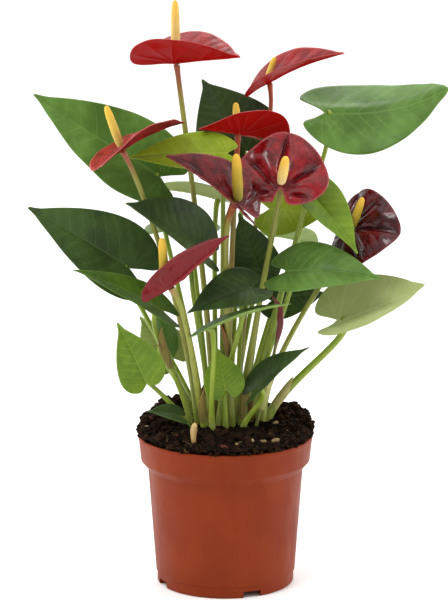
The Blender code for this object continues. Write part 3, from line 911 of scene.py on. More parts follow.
class CadShape:
    """A merged copy of one CAD node, as arrays and neighbour lists."""

    def __init__(self, node: str) -> None:
        """Copy the node's triangles and merge their shared corners.

        Args:
            node: name of the CAD node.
        """
        shape = bmesh.new()
        shape.from_mesh(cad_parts[node].data)
        bmesh.ops.remove_doubles(shape, verts=shape.verts, dist=MERGE)
        shape.verts.index_update()
        self.points = np.array([vertex.co[:] for vertex in shape.verts])
        self.faces = [tuple(vertex.index for vertex in face.verts) for face in shape.faces]
        self.neighbours = [{edge.other_vert(vertex).index for edge in vertex.link_edges}
                           for vertex in shape.verts]
        shape.free()

    def foot_radius(self) -> float:
        """Return the mean radius of a stalk's cut end."""
        foot = self.points[self.points[:, 2] < self.points[:, 2].min() + LEVEL]
        return np.linalg.norm(foot - foot.mean(axis=0), axis=1).mean()

    def rings(self, count: int = STALK_RINGS) -> np.ndarray:
        """Return the centres of a stalk's rings, from its cut end up.

        Args:
            count: how many rings the stalk has.

        Returns:
            One centre per ring.
        """
        lowest = self.points[:, 2].min()
        ring = {index for index, point in enumerate(self.points) if point[2] < lowest + LEVEL}
        seen = set(ring)
        centres = []
        for _ in range(count):
            centres.append(self.points[sorted(ring)].mean(axis=0))
            ring = {other for index in ring for other in self.neighbours[index]} - seen
            seen |= ring
        return np.array(centres)

    def broad_faces(self, thickness: float) -> list[list[tuple[int, ...]]]:
        """Split the blade into its two broad sides, leaving out the rim between them.

        Args:
            thickness: the blade's thickness, which is the rim's height.

        Returns:
            The faces of each side.
        """
        def is_rim(face: tuple[int, ...]) -> bool:
            """Tell whether one side of the face spans the thickness."""
            return any(abs(np.linalg.norm(self.points[a] - self.points[b]) - thickness) < RIM_TOLERANCE
                       for a, b in sides_of(face))

        faces = [face for face in self.faces if not is_rim(face)]
        by_edge: dict[frozenset, list[int]] = {}
        for index, face in enumerate(faces):
            for a, b in sides_of(face):
                by_edge.setdefault(frozenset((a, b)), []).append(index)
        groups = []
        left = set(range(len(faces)))
        while left:
            queue = [left.pop()]
            group = []
            while queue:
                face = faces[queue.pop()]
                group.append(face)
                for a, b in sides_of(face):
                    for other in by_edge[frozenset((a, b))]:
                        if other in left:
                            left.discard(other)
                            queue.append(other)
            groups.append(group)
        return groups


# ---------------------------------------------------------------- blades
@dataclass
class Blade:
    """A heart-shaped blade: a leaf's green part or a flower's spathe."""

    node: str
    thickness: float               # of the plain solid
    seat: np.ndarray               # upper end of the stalk or stem below it
    levels: int = 3                # rounds of subdivision
    veins: float = 8.0             # side veins along the midrib
    slant: float = 0.62            # how far a side vein leans towards the tip
    curl: float = 0.009            # bend of the side veins towards the tip, per millimetre
    fan: float = 26.0              # degrees between the veins of the lobes behind the seat
    quilt: float = 0.3 * MM        # swelling between the veins
    vein_drift: float = 0.14       # how far the side veins stray, against their pitch
    groove: tuple[float, float] = (0.45 * MM, 0.9)     # depth of the midrib, and half-width in millimetres
    folds: float = 0.0             # height of folds that fan out from the seat
    fold_turn: float = 24.0        # degrees from one fold to the next
    fold_drift: float = 0.35       # how far the folds stray, against that turn
    ripple: float = 0.8 * MM       # slow waves of the margin
    ripple_size: float = 26 * MM
    drip: float = 3.0 * MM         # the drawn-out tip
    point: float = 1.0             # how sharp the tip is, 0 for round
    swell: float = 0.7 * MM        # slow swelling all over
    droop: tuple[float, float] = (0.0, 0.0)     # degrees that the halves right and left fold down
    body: float = 1.1 * MM         # wall at the midrib
    lean: float = 0.4              # share of that wall at the margin
    rib: float = 0.4               # share of it on a side vein
    margin_loop: int = 22          # vertices round the plain face
    seed: float = 0.0
    side: np.ndarray = field(default_factory=lambda: np.zeros(3))      # across the blade, when measured

    def plain_face(self) -> tuple[bpy.types.Object, list[int], list[int]]:
        """Take the upper face of the plain solid as an object of its own.

        Returns:
            The object, its margin from the sinus round, and its midrib from the seat to the tip.
        """
        shape = CadShape(self.node)
        sides = shape.broad_faces(self.thickness)
        faces = max(sides, key=lambda side: min(
            np.linalg.norm(shape.points[index] - self.seat) for face in side for index in face))
        used = sorted({index for face in faces for index in face})
        place = {index: number for number, index in enumerate(used)}
        points = shape.points[used]
        faces = [tuple(place[index] for index in face) for face in faces]
        piece = add_mesh(f"{self.node}_surface", points, faces)
        margin = self.walk_margin(faces, points)
        midrib = self.walk_midrib(faces, points, margin[0], margin[self.margin_loop // 2])
        return piece, margin, midrib

    def walk_margin(self, faces: list[tuple[int, ...]], points: np.ndarray) -> list[int]:
        """Walk round the open edge of a sheet.

        Args:
            faces: the sheet's faces.
            points: its vertices.

        Returns:
            The edge's vertices in order, from the one nearest the seat.
        """
        following = {}
        inner = {pair for face in faces for pair in sides_of(face)}
        for a, b in inner:
            if (b, a) not in inner:
                following[a] = b
        start = min(following, key=lambda index: np.linalg.norm(points[index] - self.seat))
        loop = [start]
        while following[loop[-1]] != start:
            loop.append(following[loop[-1]])
        return loop

    @staticmethod
    def walk_midrib(faces: list[tuple[int, ...]], points: np.ndarray, seat: int, tip: int) -> list[int]:
        """Find the shortest way along a sheet's edges.

        Args:
            faces: the sheet's faces.
            points: its vertices.
            seat: the vertex where the way starts.
            tip: the vertex where it ends.

        Returns:
            The way's vertices in order.
        """
        near: dict[int, set[int]] = {}
        for face in faces:
            for a, b in sides_of(face):
                near.setdefault(a, set()).add(b)
                near.setdefault(b, set()).add(a)
        cost = {seat: 0.0}
        source = {}
        open_set = {seat}
        while open_set:
            here = min(open_set, key=lambda index: cost[index])
            open_set.discard(here)
            for other in near[here]:
                total = cost[here] + np.linalg.norm(points[here] - points[other])
                if total < cost.get(other, math.inf) - LEVEL * MM:
                    cost[other] = total
                    source[other] = here
                    open_set.add(other)
        way = [tip]
        while way[-1] != seat:
            way.append(source[way[-1]])
        return way[::-1]

    def refine(self, piece: bpy.types.Object, margin: list[int], midrib: list[int]) -> None:
        """Turn the plain face into a fine smooth sheet that keeps its outline and its tip.

        Args:
            piece: the plain face.
            margin: its margin's vertices, from the seat round.
            midrib: its midrib's vertices, from the seat to the tip.
        """
        points = coordinates(piece)
        loop = points[margin]
        eased = (np.roll(loop, 1, axis=0) + 4 * loop + np.roll(loop, -1, axis=0)) / 6
        held = loop + (loop - eased)
        tip = self.margin_loop // 2
        held[tip] = loop[tip]
        points[margin] = held
        move_to(piece, points)
        crease = piece.data.attributes.new("crease_vert", "FLOAT", "POINT")
        crease.data[margin[tip]].value = self.point
        rib = {frozenset(pair) for pair in zip(midrib, midrib[1:])}
        for edge in piece.data.edges:
            edge.use_seam = frozenset(edge.vertices) in rib
        edit_all(piece, bpy.ops.mesh.tris_convert_to_quads, face_threshold=math.pi,
                 shape_threshold=math.pi, seam=True)
        finer = piece.modifiers.new("finer", "SUBSURF")
        finer.levels = finer.render_levels = self.levels
        apply_modifiers(piece)

    def measure(self, piece: bpy.types.Object, loop: np.ndarray, rib: np.ndarray) -> Chart:
        """Measure every vertex from the midrib and the margin.

        Args:
            piece: the fine sheet.
            loop: the plain margin's points, from the seat round.
            rib: the midrib's points, from the seat to the tip.

        Returns:
            Signed distance across, distance along, both in millimetres, the same along as a
            share of the blade, distance from the margin, share of the half-width, the veins'
            phase and pitch, and the folds' crests.
        """
        points = coordinates(piece)
        half = len(loop) // 2
        pairs = [loop[index] - loop[-index] for index in range(1, half)]
        self.side = unit(np.sum(pairs, axis=0))
        line = smooth_line(rib, 40)
        behind = line[0] + unit(line[0] - line[3]) * lengths_along(line)[-1]
        line = np.vstack([behind, line])
        start = np.linalg.norm(line[1] - behind)
        length = (lengths_along(line)[-1] - start) / MM
        _, feet = nearest_on_line(loop[1:half], line)
        spans = np.linalg.norm(loop[1:half] - feet, axis=1)
        slope = np.sum(np.abs(np.array(pairs) @ self.side) / 2) / np.sum(spans)
        run, feet = nearest_on_line(points, line)
        across = (points - feet) @ self.side / slope / MM
        along = (run - start) / MM
        edge = self.edge_points(piece, points)
        margin = np.array([np.min(np.linalg.norm(edge - point, axis=1)) for point in points]) / MM
        width = np.abs(across)
        reach = np.clip(width / (width + margin + 0.2), 0.0, 1.0)
        reach = np.minimum(reach, width / (spans.max() / MM) + 0.3 * reach)
        vein, pitch = self.side_veins(points, width, along, length / self.veins)
        crest = self.crests(points, across, along, margin) if self.folds else np.zeros(len(points))
        return {"crest": crest, "across": across, "along": along, "along_share": along / length,
                "margin": margin, "reach": reach, "vein": vein, "pitch": pitch}

    def side_veins(self, points: np.ndarray, width: np.ndarray, along: np.ndarray,
                   pitch: float) -> tuple[np.ndarray, np.ndarray]:
        """Number the side veins along the midrib, and those that fan into the lobes behind the seat.

        Args:
            points: the sheet's vertices.
            width: their distances from the midrib, in millimetres.
            along: their distances along it.
            pitch: distance between two veins on the midrib.

        Returns:
            The phase, which is whole on a vein, and the local pitch in millimetres.
        """
        bent = self.curl * width**2
        ahead = along - self.slant * width - bent
        turn = math.atan(self.slant) - np.arctan2(along - bent, width + TINY)
        fan = math.radians(self.fan)
        drift = wander(points, 24 * MM, self.seed) * self.vein_drift
        phase = np.where(ahead > 0, ahead / pitch, -turn / fan)
        phase = phase + drift * smoothstep(np.abs(ahead), 0.0, 6.0)
        return phase, np.where(ahead > 0, pitch, np.maximum(np.hypot(width, along) * fan, 0.5))

    def crests(self, points: np.ndarray, across: np.ndarray, along: np.ndarray,
               margin: np.ndarray) -> np.ndarray:
        """Lay out the folds that fan out from the seat.

        Args:
            points: the sheet's vertices.
            across: their signed distances from the midrib, in millimetres.
            along: their distances along it.
            margin: their distances from the margin.

        Returns:
            1 on a crest and -1 in the trough between two.
        """
        turn = np.arctan2(across, along + 3.0) / math.radians(self.fold_turn)
        turn += self.fold_drift * wander(points, 20 * MM, self.seed + 2.9)
        crest = 2 * np.abs(np.sin(math.pi * turn / 2))**0.7 - 1
        edge = 0.25 + 0.75 * smoothstep(margin, 0.0, 10.0)
        return crest * (smoothstep(np.hypot(across, along), 2.0, 14.0) * edge)

    @staticmethod
    def edge_points(piece: bpy.types.Object, points: np.ndarray) -> np.ndarray:
        """Find the vertices on a sheet's open edge.

        Args:
            piece: the sheet.
            points: its vertices.

        Returns:
            Those on the edge.
        """
        uses: dict[tuple[int, int], int] = {}
        for face in piece.data.polygons:
            for key in face.edge_keys:
                uses[key] = uses.get(key, 0) + 1
        rim = sorted({index for key, number in uses.items() if number == 1 for index in key})
        return points[rim]

    def emboss(self, piece: bpy.types.Object, chart: Chart) -> None:
        """Swell the panels between the veins, sink the midrib, wave the margin and draw out the tip.

        Args:
            piece: the fine sheet.
            chart: its measures.
        """
        points = coordinates(piece)
        up = normals(piece)
        width = np.abs(chart["across"])
        share = chart["along_share"]
        panel = np.abs(np.sin(math.pi * chart["vein"])) ** 0.8
        height = self.folds * chart["crest"]
        inside = smoothstep(chart["margin"], 0.0, 7.0) * smoothstep(width, 0.5, 5.0)
        height += self.quilt * panel * inside
        depth, groove = self.groove
        height -= depth * np.exp(-(width / groove)**2) * smoothstep(share, -0.02, 0.04)
        height += self.swell * wander(points, 17 * MM, self.seed + 4.1) * smoothstep(width, 0.0, 6.0)
        for sign, degrees in zip((1, -1), self.droop):
            turn = math.radians(degrees) * smoothstep(sign * chart["across"], 0.0, 12.0)
            height -= np.sin(turn) * width * MM
            points -= self.side * (sign * (1 - np.cos(turn)) * width * MM)[:, None]
        waves = wander(points, self.ripple_size, self.seed + 7.3)
        height += self.ripple * waves * (1 - smoothstep(chart["margin"], 2.0, 16.0))
        points += up * height[:, None]
        tip = points[np.argmax(chart["along"])]
        root = points[np.argmin(np.abs(chart["along"]) + width)]
        points += unit(tip - root) * (self.drip * smoothstep(share, 0.9, 1.0)**2)[:, None]
        move_to(piece, points)

    def thicken(self, piece: bpy.types.Object, chart: Chart) -> None:
        """Give the sheet its wall, thickest under the midrib and thin at the margin.

        Args:
            piece: the embossed sheet.
            chart: its measures.
        """
        ridge = np.exp(-(chart["across"] / 1.3)**2) * smoothstep(1.05 - chart["along_share"], 0.0, 0.5)
        off = np.abs(chart["vein"] - np.round(chart["vein"])) * chart["pitch"]
        ribs = self.rib * np.exp(-(off / 0.9)**2) * (1 - 0.7 * chart["reach"])
        ribs *= smoothstep(chart["margin"], 1.0, 6.0)
        weights = np.clip(np.maximum(ridge, ribs), 0.0, 1.0)
        group = piece.vertex_groups.new(name="wall")
        for index, weight in enumerate(weights):
            group.add([index], float(weight), "REPLACE")
        wall = piece.modifiers.new("wall", "SOLIDIFY")
        wall.thickness = self.body
        wall.offset = -1.0
        wall.vertex_group = group.name
        wall.thickness_vertex_group = self.lean
        wall.material_offset = 1
        wall.material_offset_rim = 0
        apply_modifiers(piece)
        piece.vertex_groups.clear()

    def build(self, upper: bpy.types.Material, lower: bpy.types.Material) -> bpy.types.Object:
        """Build the finished blade.

        Args:
            upper: material of the upper face.
            lower: material of the underside.

        Returns:
            The blade, as a closed thin body.
        """
        piece, margin, midrib = self.plain_face()
        points = coordinates(piece)
        loop, rib = points[margin], points[midrib]
        self.refine(piece, margin, midrib)
        chart = self.measure(piece, loop, rib)
        self.emboss(piece, chart)
        for name, values in chart.items():
            store(piece, name, values)
        piece.data.materials.append(upper)
        piece.data.materials.append(lower)
        self.thicken(piece, chart)
        focus(piece)
        bpy.ops.object.shade_smooth()
        return piece


@dataclass
class Stalk:
    """A round stalk or stem along the rings of a plain one."""

    centres: np.ndarray            # from the soil to the upper end
    radius: float
    flare: float = 0.5             # how much thicker it is at the soil
    knee: float = 0.25             # swelling just under the blade
    knee_length: float = 9 * MM
    sink: float = 4 * MM           # how far it goes into the soil
    steps: int = 30
    sides: int = 12
    swell: tuple[tuple[float, ...], tuple[float, ...]] | None = None   # shares and widths, if not plain

    def build(self, name: str, material: bpy.types.Material) -> bpy.types.Object:
        """Build the stalk as a closed tube, with a share from 0 at the soil to 1 at its end.

        Args:
            name: name of the piece.
            material: its material.

        Returns:
            The stalk.
        """
        route = smooth_line(self.centres, self.steps)
        route = np.vstack([route[0] + unit(route[0] - route[1]) * self.sink, route])
        run = lengths_along(route)
        share = run / run[-1]
        left = (run[-1] - run) / self.knee_length
        widths = 1 + self.flare * (1 - share)**3 + self.knee * np.exp(-left**2)
        if self.swell is not None:
            widths = np.interp(share, *self.swell)
        piece = add_tubes(name, [(route, self.radius * widths)], (self.sides - 4) // 2)
        along, _ = nearest_on_line(coordinates(piece), route)
        store(piece, "stalk_share", along / run[-1])
        wear(piece, material, angle=60)
        return piece


class Wardrobe:
    """Every material once, however many pieces wear it."""

    def __init__(self) -> None:
        """Start with nothing made."""
        self.made: dict[Callable, bpy.types.Material] = {}

    def dress(self, recipe: Callable[[], bpy.types.Material]) -> bpy.types.Material:
        """Make a material, or take it if it is already made.

        Args:
            recipe: the finish's method that makes it.

        Returns:
            The material.
        """
        if recipe not in self.made:
            self.made[recipe] = recipe()
        return self.made[recipe]


@dataclass
class Leaf:
    """One leaf: its blade on its stalk, joined as one piece."""

    number: int
    finish: LeafFinish
    stalk_finish: StalkFinish = PETIOLE
    girth: float = 1.28            # stalk's radius against the plain one
    shape: dict = field(default_factory=dict)

    @property
    def node(self) -> str:
        """Name of the CAD node."""
        return f"leaf_{self.number:02d}"

    def build(self, dresses: Wardrobe) -> bpy.types.Object:
        """Build the leaf and let it stand for its CAD node.

        Args:
            dresses: the materials.

        Returns:
            The finished leaf.
        """
        shape = CadShape(self.node)
        rings = shape.rings(STALK_RINGS + 1)
        radius = shape.foot_radius() / STALK_FOOT
        blade = Blade(self.node, LEAF_SHEET, rings[-1], seed=self.number * 1.7, **self.shape)
        piece = blade.build(dresses.dress(self.finish.upper), dresses.dress(self.finish.lower))
        stalk = Stalk(rings, radius * self.girth)
        stem = stalk.build(f"{self.node}_stalk", dresses.dress(self.stalk_finish.material))
        focus(piece, stem)
        bpy.ops.object.join()
        piece.name = f"{self.node}_grown"
        hand_over(piece, Slot.LEAF, self.node)
        return piece


@dataclass
class Flower:
    """One flower: a spathe, the spadix on it and the stem under it."""

    number: int
    finish: SpatheFinish
    spadix_finish: SpadixFinish = SPADIX_RIPE
    stem_finish: StalkFinish = STEM
    girth: float = 1.22            # stem's radius against the plain one
    reach: float = 1.2 * MM        # how far the stem goes into the spathe
    shape: dict = field(default_factory=dict)

    def build(self, dresses: Wardrobe) -> None:
        """Build the three pieces.

        Args:
            dresses: the materials.
        """
        stem_node = f"flower_stem_{self.number}"
        shape = CadShape(stem_node)
        rings = shape.rings()
        radius = shape.foot_radius() / STEM_FOOT
        ends = np.vstack([rings, rings[-1] + unit(rings[-1] - rings[-2]) * self.reach])
        stem = Stalk(ends, radius * self.girth, knee=0.3, knee_length=4 * MM).build(
            f"stem_{self.number}_grown", dresses.dress(self.stem_finish.material))
        hand_over(stem, Slot.STALK, stem_node)
        blade = Blade(f"spathe_{self.number}", SPATHE_SHEET, rings[-1],
                      **{**SPATHE_SHAPE, "seed": 40 + self.number * 2.3, **self.shape})
        piece = blade.build(dresses.dress(self.finish.upper), dresses.dress(self.finish.lower))
        piece.name = f"spathe_{self.number}_grown"
        hand_over(piece, Slot.SPATHE, f"spathe_{self.number}")
        Spadix(f"spadix_{self.number}").build(dresses.dress(self.spadix_finish.material))


SPATHE_SHAPE = {"levels": 4, "veins": 4.5, "slant": 0.9, "curl": 0.006, "fan": 30.0, "quilt": 0.5 * MM,
                "ripple": 0.8 * MM, "ripple_size": 15 * MM, "drip": 2.0 * MM, "body": 0.9 * MM, "lean": 0.6}
BLUNT = {"drip": 0.0, "point": 0.0}         # a spathe with a round end


@dataclass
class Spadix:
    """The finger of tiny close-set flowers that stands on a spathe."""

    node: str
    segments: int = 48             # sides, and rings along it
    rings: int = 110
    bead: float = 0.24 * MM        # how far a bead stands out
    bead_pitch: float = 1.5 * MM
    spirals: int = 8
    seated: float = 0.8 * MM       # how far the foot goes into the spathe
    outline: tuple[tuple[float, ...], tuple[float, ...]] = (       # shares of the length and of the radius
        (0.0, 0.02, 0.1, 0.35, 0.75, 0.9, 0.97, 1.0), (0.0, 0.66, 0.88, 1.0, 0.88, 0.7, 0.46, 0.0))

    def build(self, material: bpy.types.Material) -> bpy.types.Object:
        """Build the spadix over its plain solid.

        Args:
            material: its material.

        Returns:
            The finished piece.
        """
        shape = CadShape(self.node)
        middle = shape.points.mean(axis=0)
        axis = np.linalg.svd(shape.points - middle)[2][0]
        axis *= math.copysign(1.0, axis[2])
        run = (shape.points - middle) @ axis
        foot = middle + axis * (run.min() - self.seated)
        length = run.max() - run.min() + self.seated
        radius = np.linalg.norm(shape.points - middle - run[:, None] * axis, axis=1).max()
        side = sideways(axis)
        deep = np.cross(axis, side)
        deselect()
        bpy.ops.mesh.primitive_uv_sphere_add(segments=self.segments, ring_count=self.rings, radius=1.0)
        piece = bpy.context.view_layer.objects.active
        piece.name = f"{self.node}_grown"
        ball = coordinates(piece)
        angle = np.arctan2(ball[:, 1], ball[:, 0])
        along = (1 + np.arcsin(np.clip(ball[:, 2], -1, 1)) / (math.pi / 2)) / 2
        swell = np.interp(along, *self.outline)
        twist = along * length / self.bead_pitch * math.pi
        turn = self.spirals * angle / 2
        beads = np.abs(np.cos(turn + twist) * np.cos(turn - twist))
        grown = radius * swell + self.bead * beads * smoothstep(swell, 0.1, 0.6)
        out = np.cos(angle)[:, None] * side + np.sin(angle)[:, None] * deep
        move_to(piece, foot + (along * length)[:, None] * axis + grown[:, None] * out)
        store(piece, "stalk_share", along)
        store(piece, "bead", beads)
        edit_all(piece, bpy.ops.mesh.normals_make_consistent, inside=False)
        wear(piece, material)
        hand_over(piece, Slot.SPADIX, self.node)
        return piece


# ---------------------------------------------------------------- pot and soil
@dataclass
class Pot:
    """The nursery pot: turned from its profile, then notched and drilled at the foot."""

    node: str = "pot"
    segments: int = 128
    rim_lower: float = 58.2 * MM
    rim_depth: float = 17.3 * MM
    slant: float = 5.5 * MM        # the rim's lower edge slants in to the body
    body_top: float = 53.4 * MM
    body_low: float = 48.0 * MM
    foot: float = 47.2 * MM
    foot_height: float = 7.5 * MM
    wall: float = 1.6 * MM
    floor: float = 7.0 * MM
    channel: tuple[float, float, float] = (30 * MM, 43.5 * MM, 4.8 * MM)     # inner, outer and height
    edge: float = 0.55 * MM        # rounding of the moulded edges
    notches: int = 4
    notch_start: float = -67.0     # degrees
    notch_size: tuple[float, float] = (13 * MM, 4.5 * MM)      # width and height
    notch_cut: float = 9 * MM      # from the channel out through the foot
    holes: int = 8
    hole_circle: float = 36.5 * MM
    hole_radius: float = 4 * MM

    def profile(self) -> list[tuple[float, float]]:
        """Draw the profile, from the middle of the underside round to the middle of the inside.

        Returns:
            Radius and height of each corner.
        """
        low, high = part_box(self.node)
        height, radius = high[2], high[0]
        inner, outer, rise = self.channel
        shoulder = height - self.rim_depth
        return [
            (0, 0), (inner, 0), (inner + MM, rise), (outer - MM, rise), (outer, 0),
            (self.foot - MM, 0), (self.foot, MM), (self.foot, self.foot_height),
            (self.body_low, self.foot_height + 0.8 * MM),
            (self.body_top, shoulder - self.slant), (self.rim_lower, shoulder),
            (radius - 0.3 * MM, height - 3.2 * MM), (radius, height - 2.6 * MM),
            (radius, height - 0.5 * MM), (radius - 0.5 * MM, height), (radius - self.wall, height),
            (self.rim_lower - self.wall, shoulder + MM),
            (self.body_top - self.wall, shoulder - self.slant + 2 * MM),
            (self.foot - self.wall, self.floor + 3 * MM), (self.foot - 4 * MM, self.floor), (0, self.floor),
        ]

    def turn(self) -> bpy.types.Object:
        """Turn the profile into the closed pot with rounded edges.

        Returns:
            The pot, without its notches and holes.
        """
        outline = [(radius, 0, height) for radius, height in self.profile()]
        steps = [(index, index + 1) for index in range(len(outline) - 1)]
        piece = add_mesh("pot_moulded", outline, [], steps)
        turned = piece.modifiers.new("turned", "SCREW")
        turned.steps = turned.render_steps = self.segments
        turned.use_merge_vertices = True
        turned.merge_threshold = MERGE
        rounded = piece.modifiers.new("rounded", "BEVEL")
        rounded.width = self.edge
        rounded.segments = 3
        rounded.angle_limit = math.radians(20)
        apply_modifiers(piece)
        edit_all(piece, bpy.ops.mesh.normals_make_consistent, inside=False)
        return piece

    def cut(self, piece: bpy.types.Object, cutter: bpy.types.Object) -> None:
        """Take the cutter's shape out of the pot and remove the cutter.

        Args:
            piece: the pot.
            cutter: the solid to take out.
        """
        taken = piece.modifiers.new("taken", "BOOLEAN")
        taken.operation = "DIFFERENCE"
        taken.object = cutter
        apply_modifiers(piece)
        bpy.data.objects.remove(cutter, do_unlink=True)

    def build(self, material: bpy.types.Material) -> bpy.types.Object:
        """Build the finished pot.

        Args:
            material: its material.

        Returns:
            The pot.
        """
        piece = self.turn()
        width, height = self.notch_size
        reach = (self.channel[1] + self.foot) / 2
        for index in range(self.notches):
            angle = math.radians(self.notch_start) + index * math.tau / self.notches
            deselect()
            bpy.ops.mesh.primitive_cube_add(size=1.0, rotation=(0, 0, angle),
                                            location=(reach * math.cos(angle), reach * math.sin(angle), 0))
            cutter = bpy.context.view_layer.objects.active
            cutter.scale = (self.notch_cut, width, 2 * height)
            self.cut(piece, cutter)
        for index in range(self.holes):
            angle = (index + 0.5) * math.tau / self.holes
            deselect()
            bpy.ops.mesh.primitive_cylinder_add(
                vertices=24, radius=self.hole_radius, depth=4 * self.floor,
                location=(self.hole_circle * math.cos(angle), self.hole_circle * math.sin(angle), 0))
            self.cut(piece, bpy.context.view_layer.objects.active)
        piece.data.materials.clear()
        wear(piece, material, angle=30)
        hand_over(piece, Slot.PLASTIC, self.node)
        return piece


class Ground:
    """The height of a surface seen from above."""

    def __init__(self, points: np.ndarray, faces: list[tuple[int, ...]]) -> None:
        """Keep the surface for looking down on it.

        Args:
            points: its vertices.
            faces: its faces, as vertex numbers.
        """
        self.tree = BVHTree.FromPolygons([tuple(point) for point in points], faces)

    def height(self, x: float, y: float, otherwise: float) -> float:
        """Return the height at a place, or the given one where there is no surface."""
        hit = self.tree.ray_cast(Vector((x, y, 1.0)), Vector((0, 0, -1)))[0]
        return otherwise if hit is None else hit.z


@dataclass
class Soil:
    """The heaped peat, cloddy on top and plain inside the pot."""

    node: str = "potting_soil"
    segments: int = 300
    rings: int = 200
    radius: float = 60.4 * MM
    inner: float = 55.0 * MM       # clear of the pot's inside below the rim
    depth: float = 16 * MM         # modelled this far under the rim
    lip: float = 0.06              # share of the underside that rolls in under the edge
    calm: float = 20 * MM          # no clods in the middle, where the stems stand
    clods: tuple[tuple[float, float], ...] = (             # width and height
        (10 * MM, 2.6 * MM), (4.2 * MM, 2.2 * MM), (1.8 * MM, 1.2 * MM))

    def build(self, material: bpy.types.Material) -> Ground:
        """Build the soil.

        Args:
            material: its material.

        Returns:
            Its finished surface.
        """
        shape = CadShape(self.node)
        plain = Ground(shape.points, shape.faces)
        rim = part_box("pot")[1][2]
        deselect()
        bpy.ops.mesh.primitive_uv_sphere_add(segments=self.segments, ring_count=self.rings, radius=1.0)
        piece = bpy.context.view_layer.objects.active
        piece.name = "soil_heaped"
        ball = coordinates(piece)
        angle = np.arctan2(ball[:, 1], ball[:, 0])
        rise = np.arcsin(np.clip(ball[:, 2], -1, 1)) / (math.pi / 2)
        upper = rise >= 0
        reach = self.radius * np.where(upper, 1 - np.abs(rise)**1.1, 1.0)
        lower_reach = np.where(rise < -0.5, self.inner * 2 * (1 + rise), self.inner)
        under = smoothstep(-rise, 0.0, self.lip)
        reach = np.where(upper, reach, self.radius + (lower_reach - self.radius) * under)
        x, y = reach * np.cos(angle), reach * np.sin(angle)
        top = np.array([plain.height(a * 0.985, b * 0.985, rim) for a, b in zip(x, y)])
        base = np.where(rise < -0.5, rim - self.depth, rim - self.depth * np.clip(-rise * 2, 0.0, 1.0))
        z = np.where(upper, top, np.where(-rise < self.lip, top + (base - top) * under, base))
        points = np.column_stack([x, y, z])
        inner, outer = smoothstep(reach, 0.0, self.calm), 1 - 0.5 * smoothstep(reach, 57 * MM, 60 * MM)
        for number, (size, height) in enumerate(self.clods):
            lumps = wander(points, size, 11.0 + 5 * number)
            lumps = np.sign(lumps) * np.abs(lumps)**0.7
            points[:, 2] += np.where(upper, lumps * height * inner * outer, 0.0)
        move_to(piece, points)
        wear(piece, material)
        hand_over(piece, Slot.PEAT, self.node)
        return Ground(points, [tuple(face.vertices) for face in piece.data.polygons])


@dataclass
class Crumbs:
    """Loose bits of one kind, strewn over the soil."""

    name: str
    count: int
    sizes: tuple[float, float]     # smallest and largest radius, in millimetres
    flat: float = 0.7              # height against width
    long: float = 1.3              # length against width
    reach: tuple[float, float] = (20.0, 59.0)      # from the pot's axis, in millimetres
    sector: tuple[float, float] = (0.0, 360.0)     # degrees round it
    proud: float = 0.25            # how far a bit stands out, against its size
    rough: float = 0.35            # how lumpy it is
    drop: float = 0.0              # how far below the surface some sit, in millimetres
    seed: int = 1

    def build(self, ground: Ground, material: bpy.types.Material) -> bpy.types.Object:
        """Strew the bits.

        Args:
            ground: the surface that they lie on.
            material: their material.

        Returns:
            The bits as one piece.
        """
        draw = random.Random(self.seed)
        deselect()
        bpy.ops.mesh.primitive_ico_sphere_add(subdivisions=2, radius=1.0)
        ball = bpy.context.view_layer.objects.active
        bare = coordinates(ball)
        triangles = np.array([tuple(face.vertices) for face in ball.data.polygons])
        bpy.data.objects.remove(ball, do_unlink=True)
        points, faces, tones = [], [], []
        for index in range(self.count):
            share = draw.random()
            size = (self.sizes[0] + (self.sizes[1] - self.sizes[0]) * share**2.5) * MM
            reach = math.sqrt(draw.uniform(self.reach[0]**2, self.reach[1]**2)) * MM
            way = math.radians(draw.uniform(*self.sector))
            x, y = reach * math.cos(way), reach * math.sin(way)
            stretch = np.array([self.long, 1.0, self.flat]) * [draw.uniform(0.7, 1.2) for _ in range(3)]
            lumps = 1 + self.rough * wander(bare, 0.9, index * 3.1)
            turn = np.array(Vector((draw.uniform(-1, 1), draw.uniform(-1, 1), draw.uniform(-1, 1)))
                            .to_track_quat("Z", "Y").to_matrix())
            bit = (bare * lumps[:, None] * stretch * size) @ turn.T
            rest = ground.height(x, y, CAD_BOX[0][2]) - draw.uniform(0, self.drop) * MM
            bit += (x, y, rest + self.proud * size)
            faces.append(triangles + index * len(bare))
            points.append(bit)
            tones.append(np.full(len(bare), draw.random()))
        piece = add_mesh(self.name, np.vstack(points), [tuple(face) for face in np.vstack(faces).tolist()])
        store(piece, "tone", np.concatenate(tones))
        wear(piece, material, angle=50)
        hand_over(piece, Slot.PEAT)
        return piece


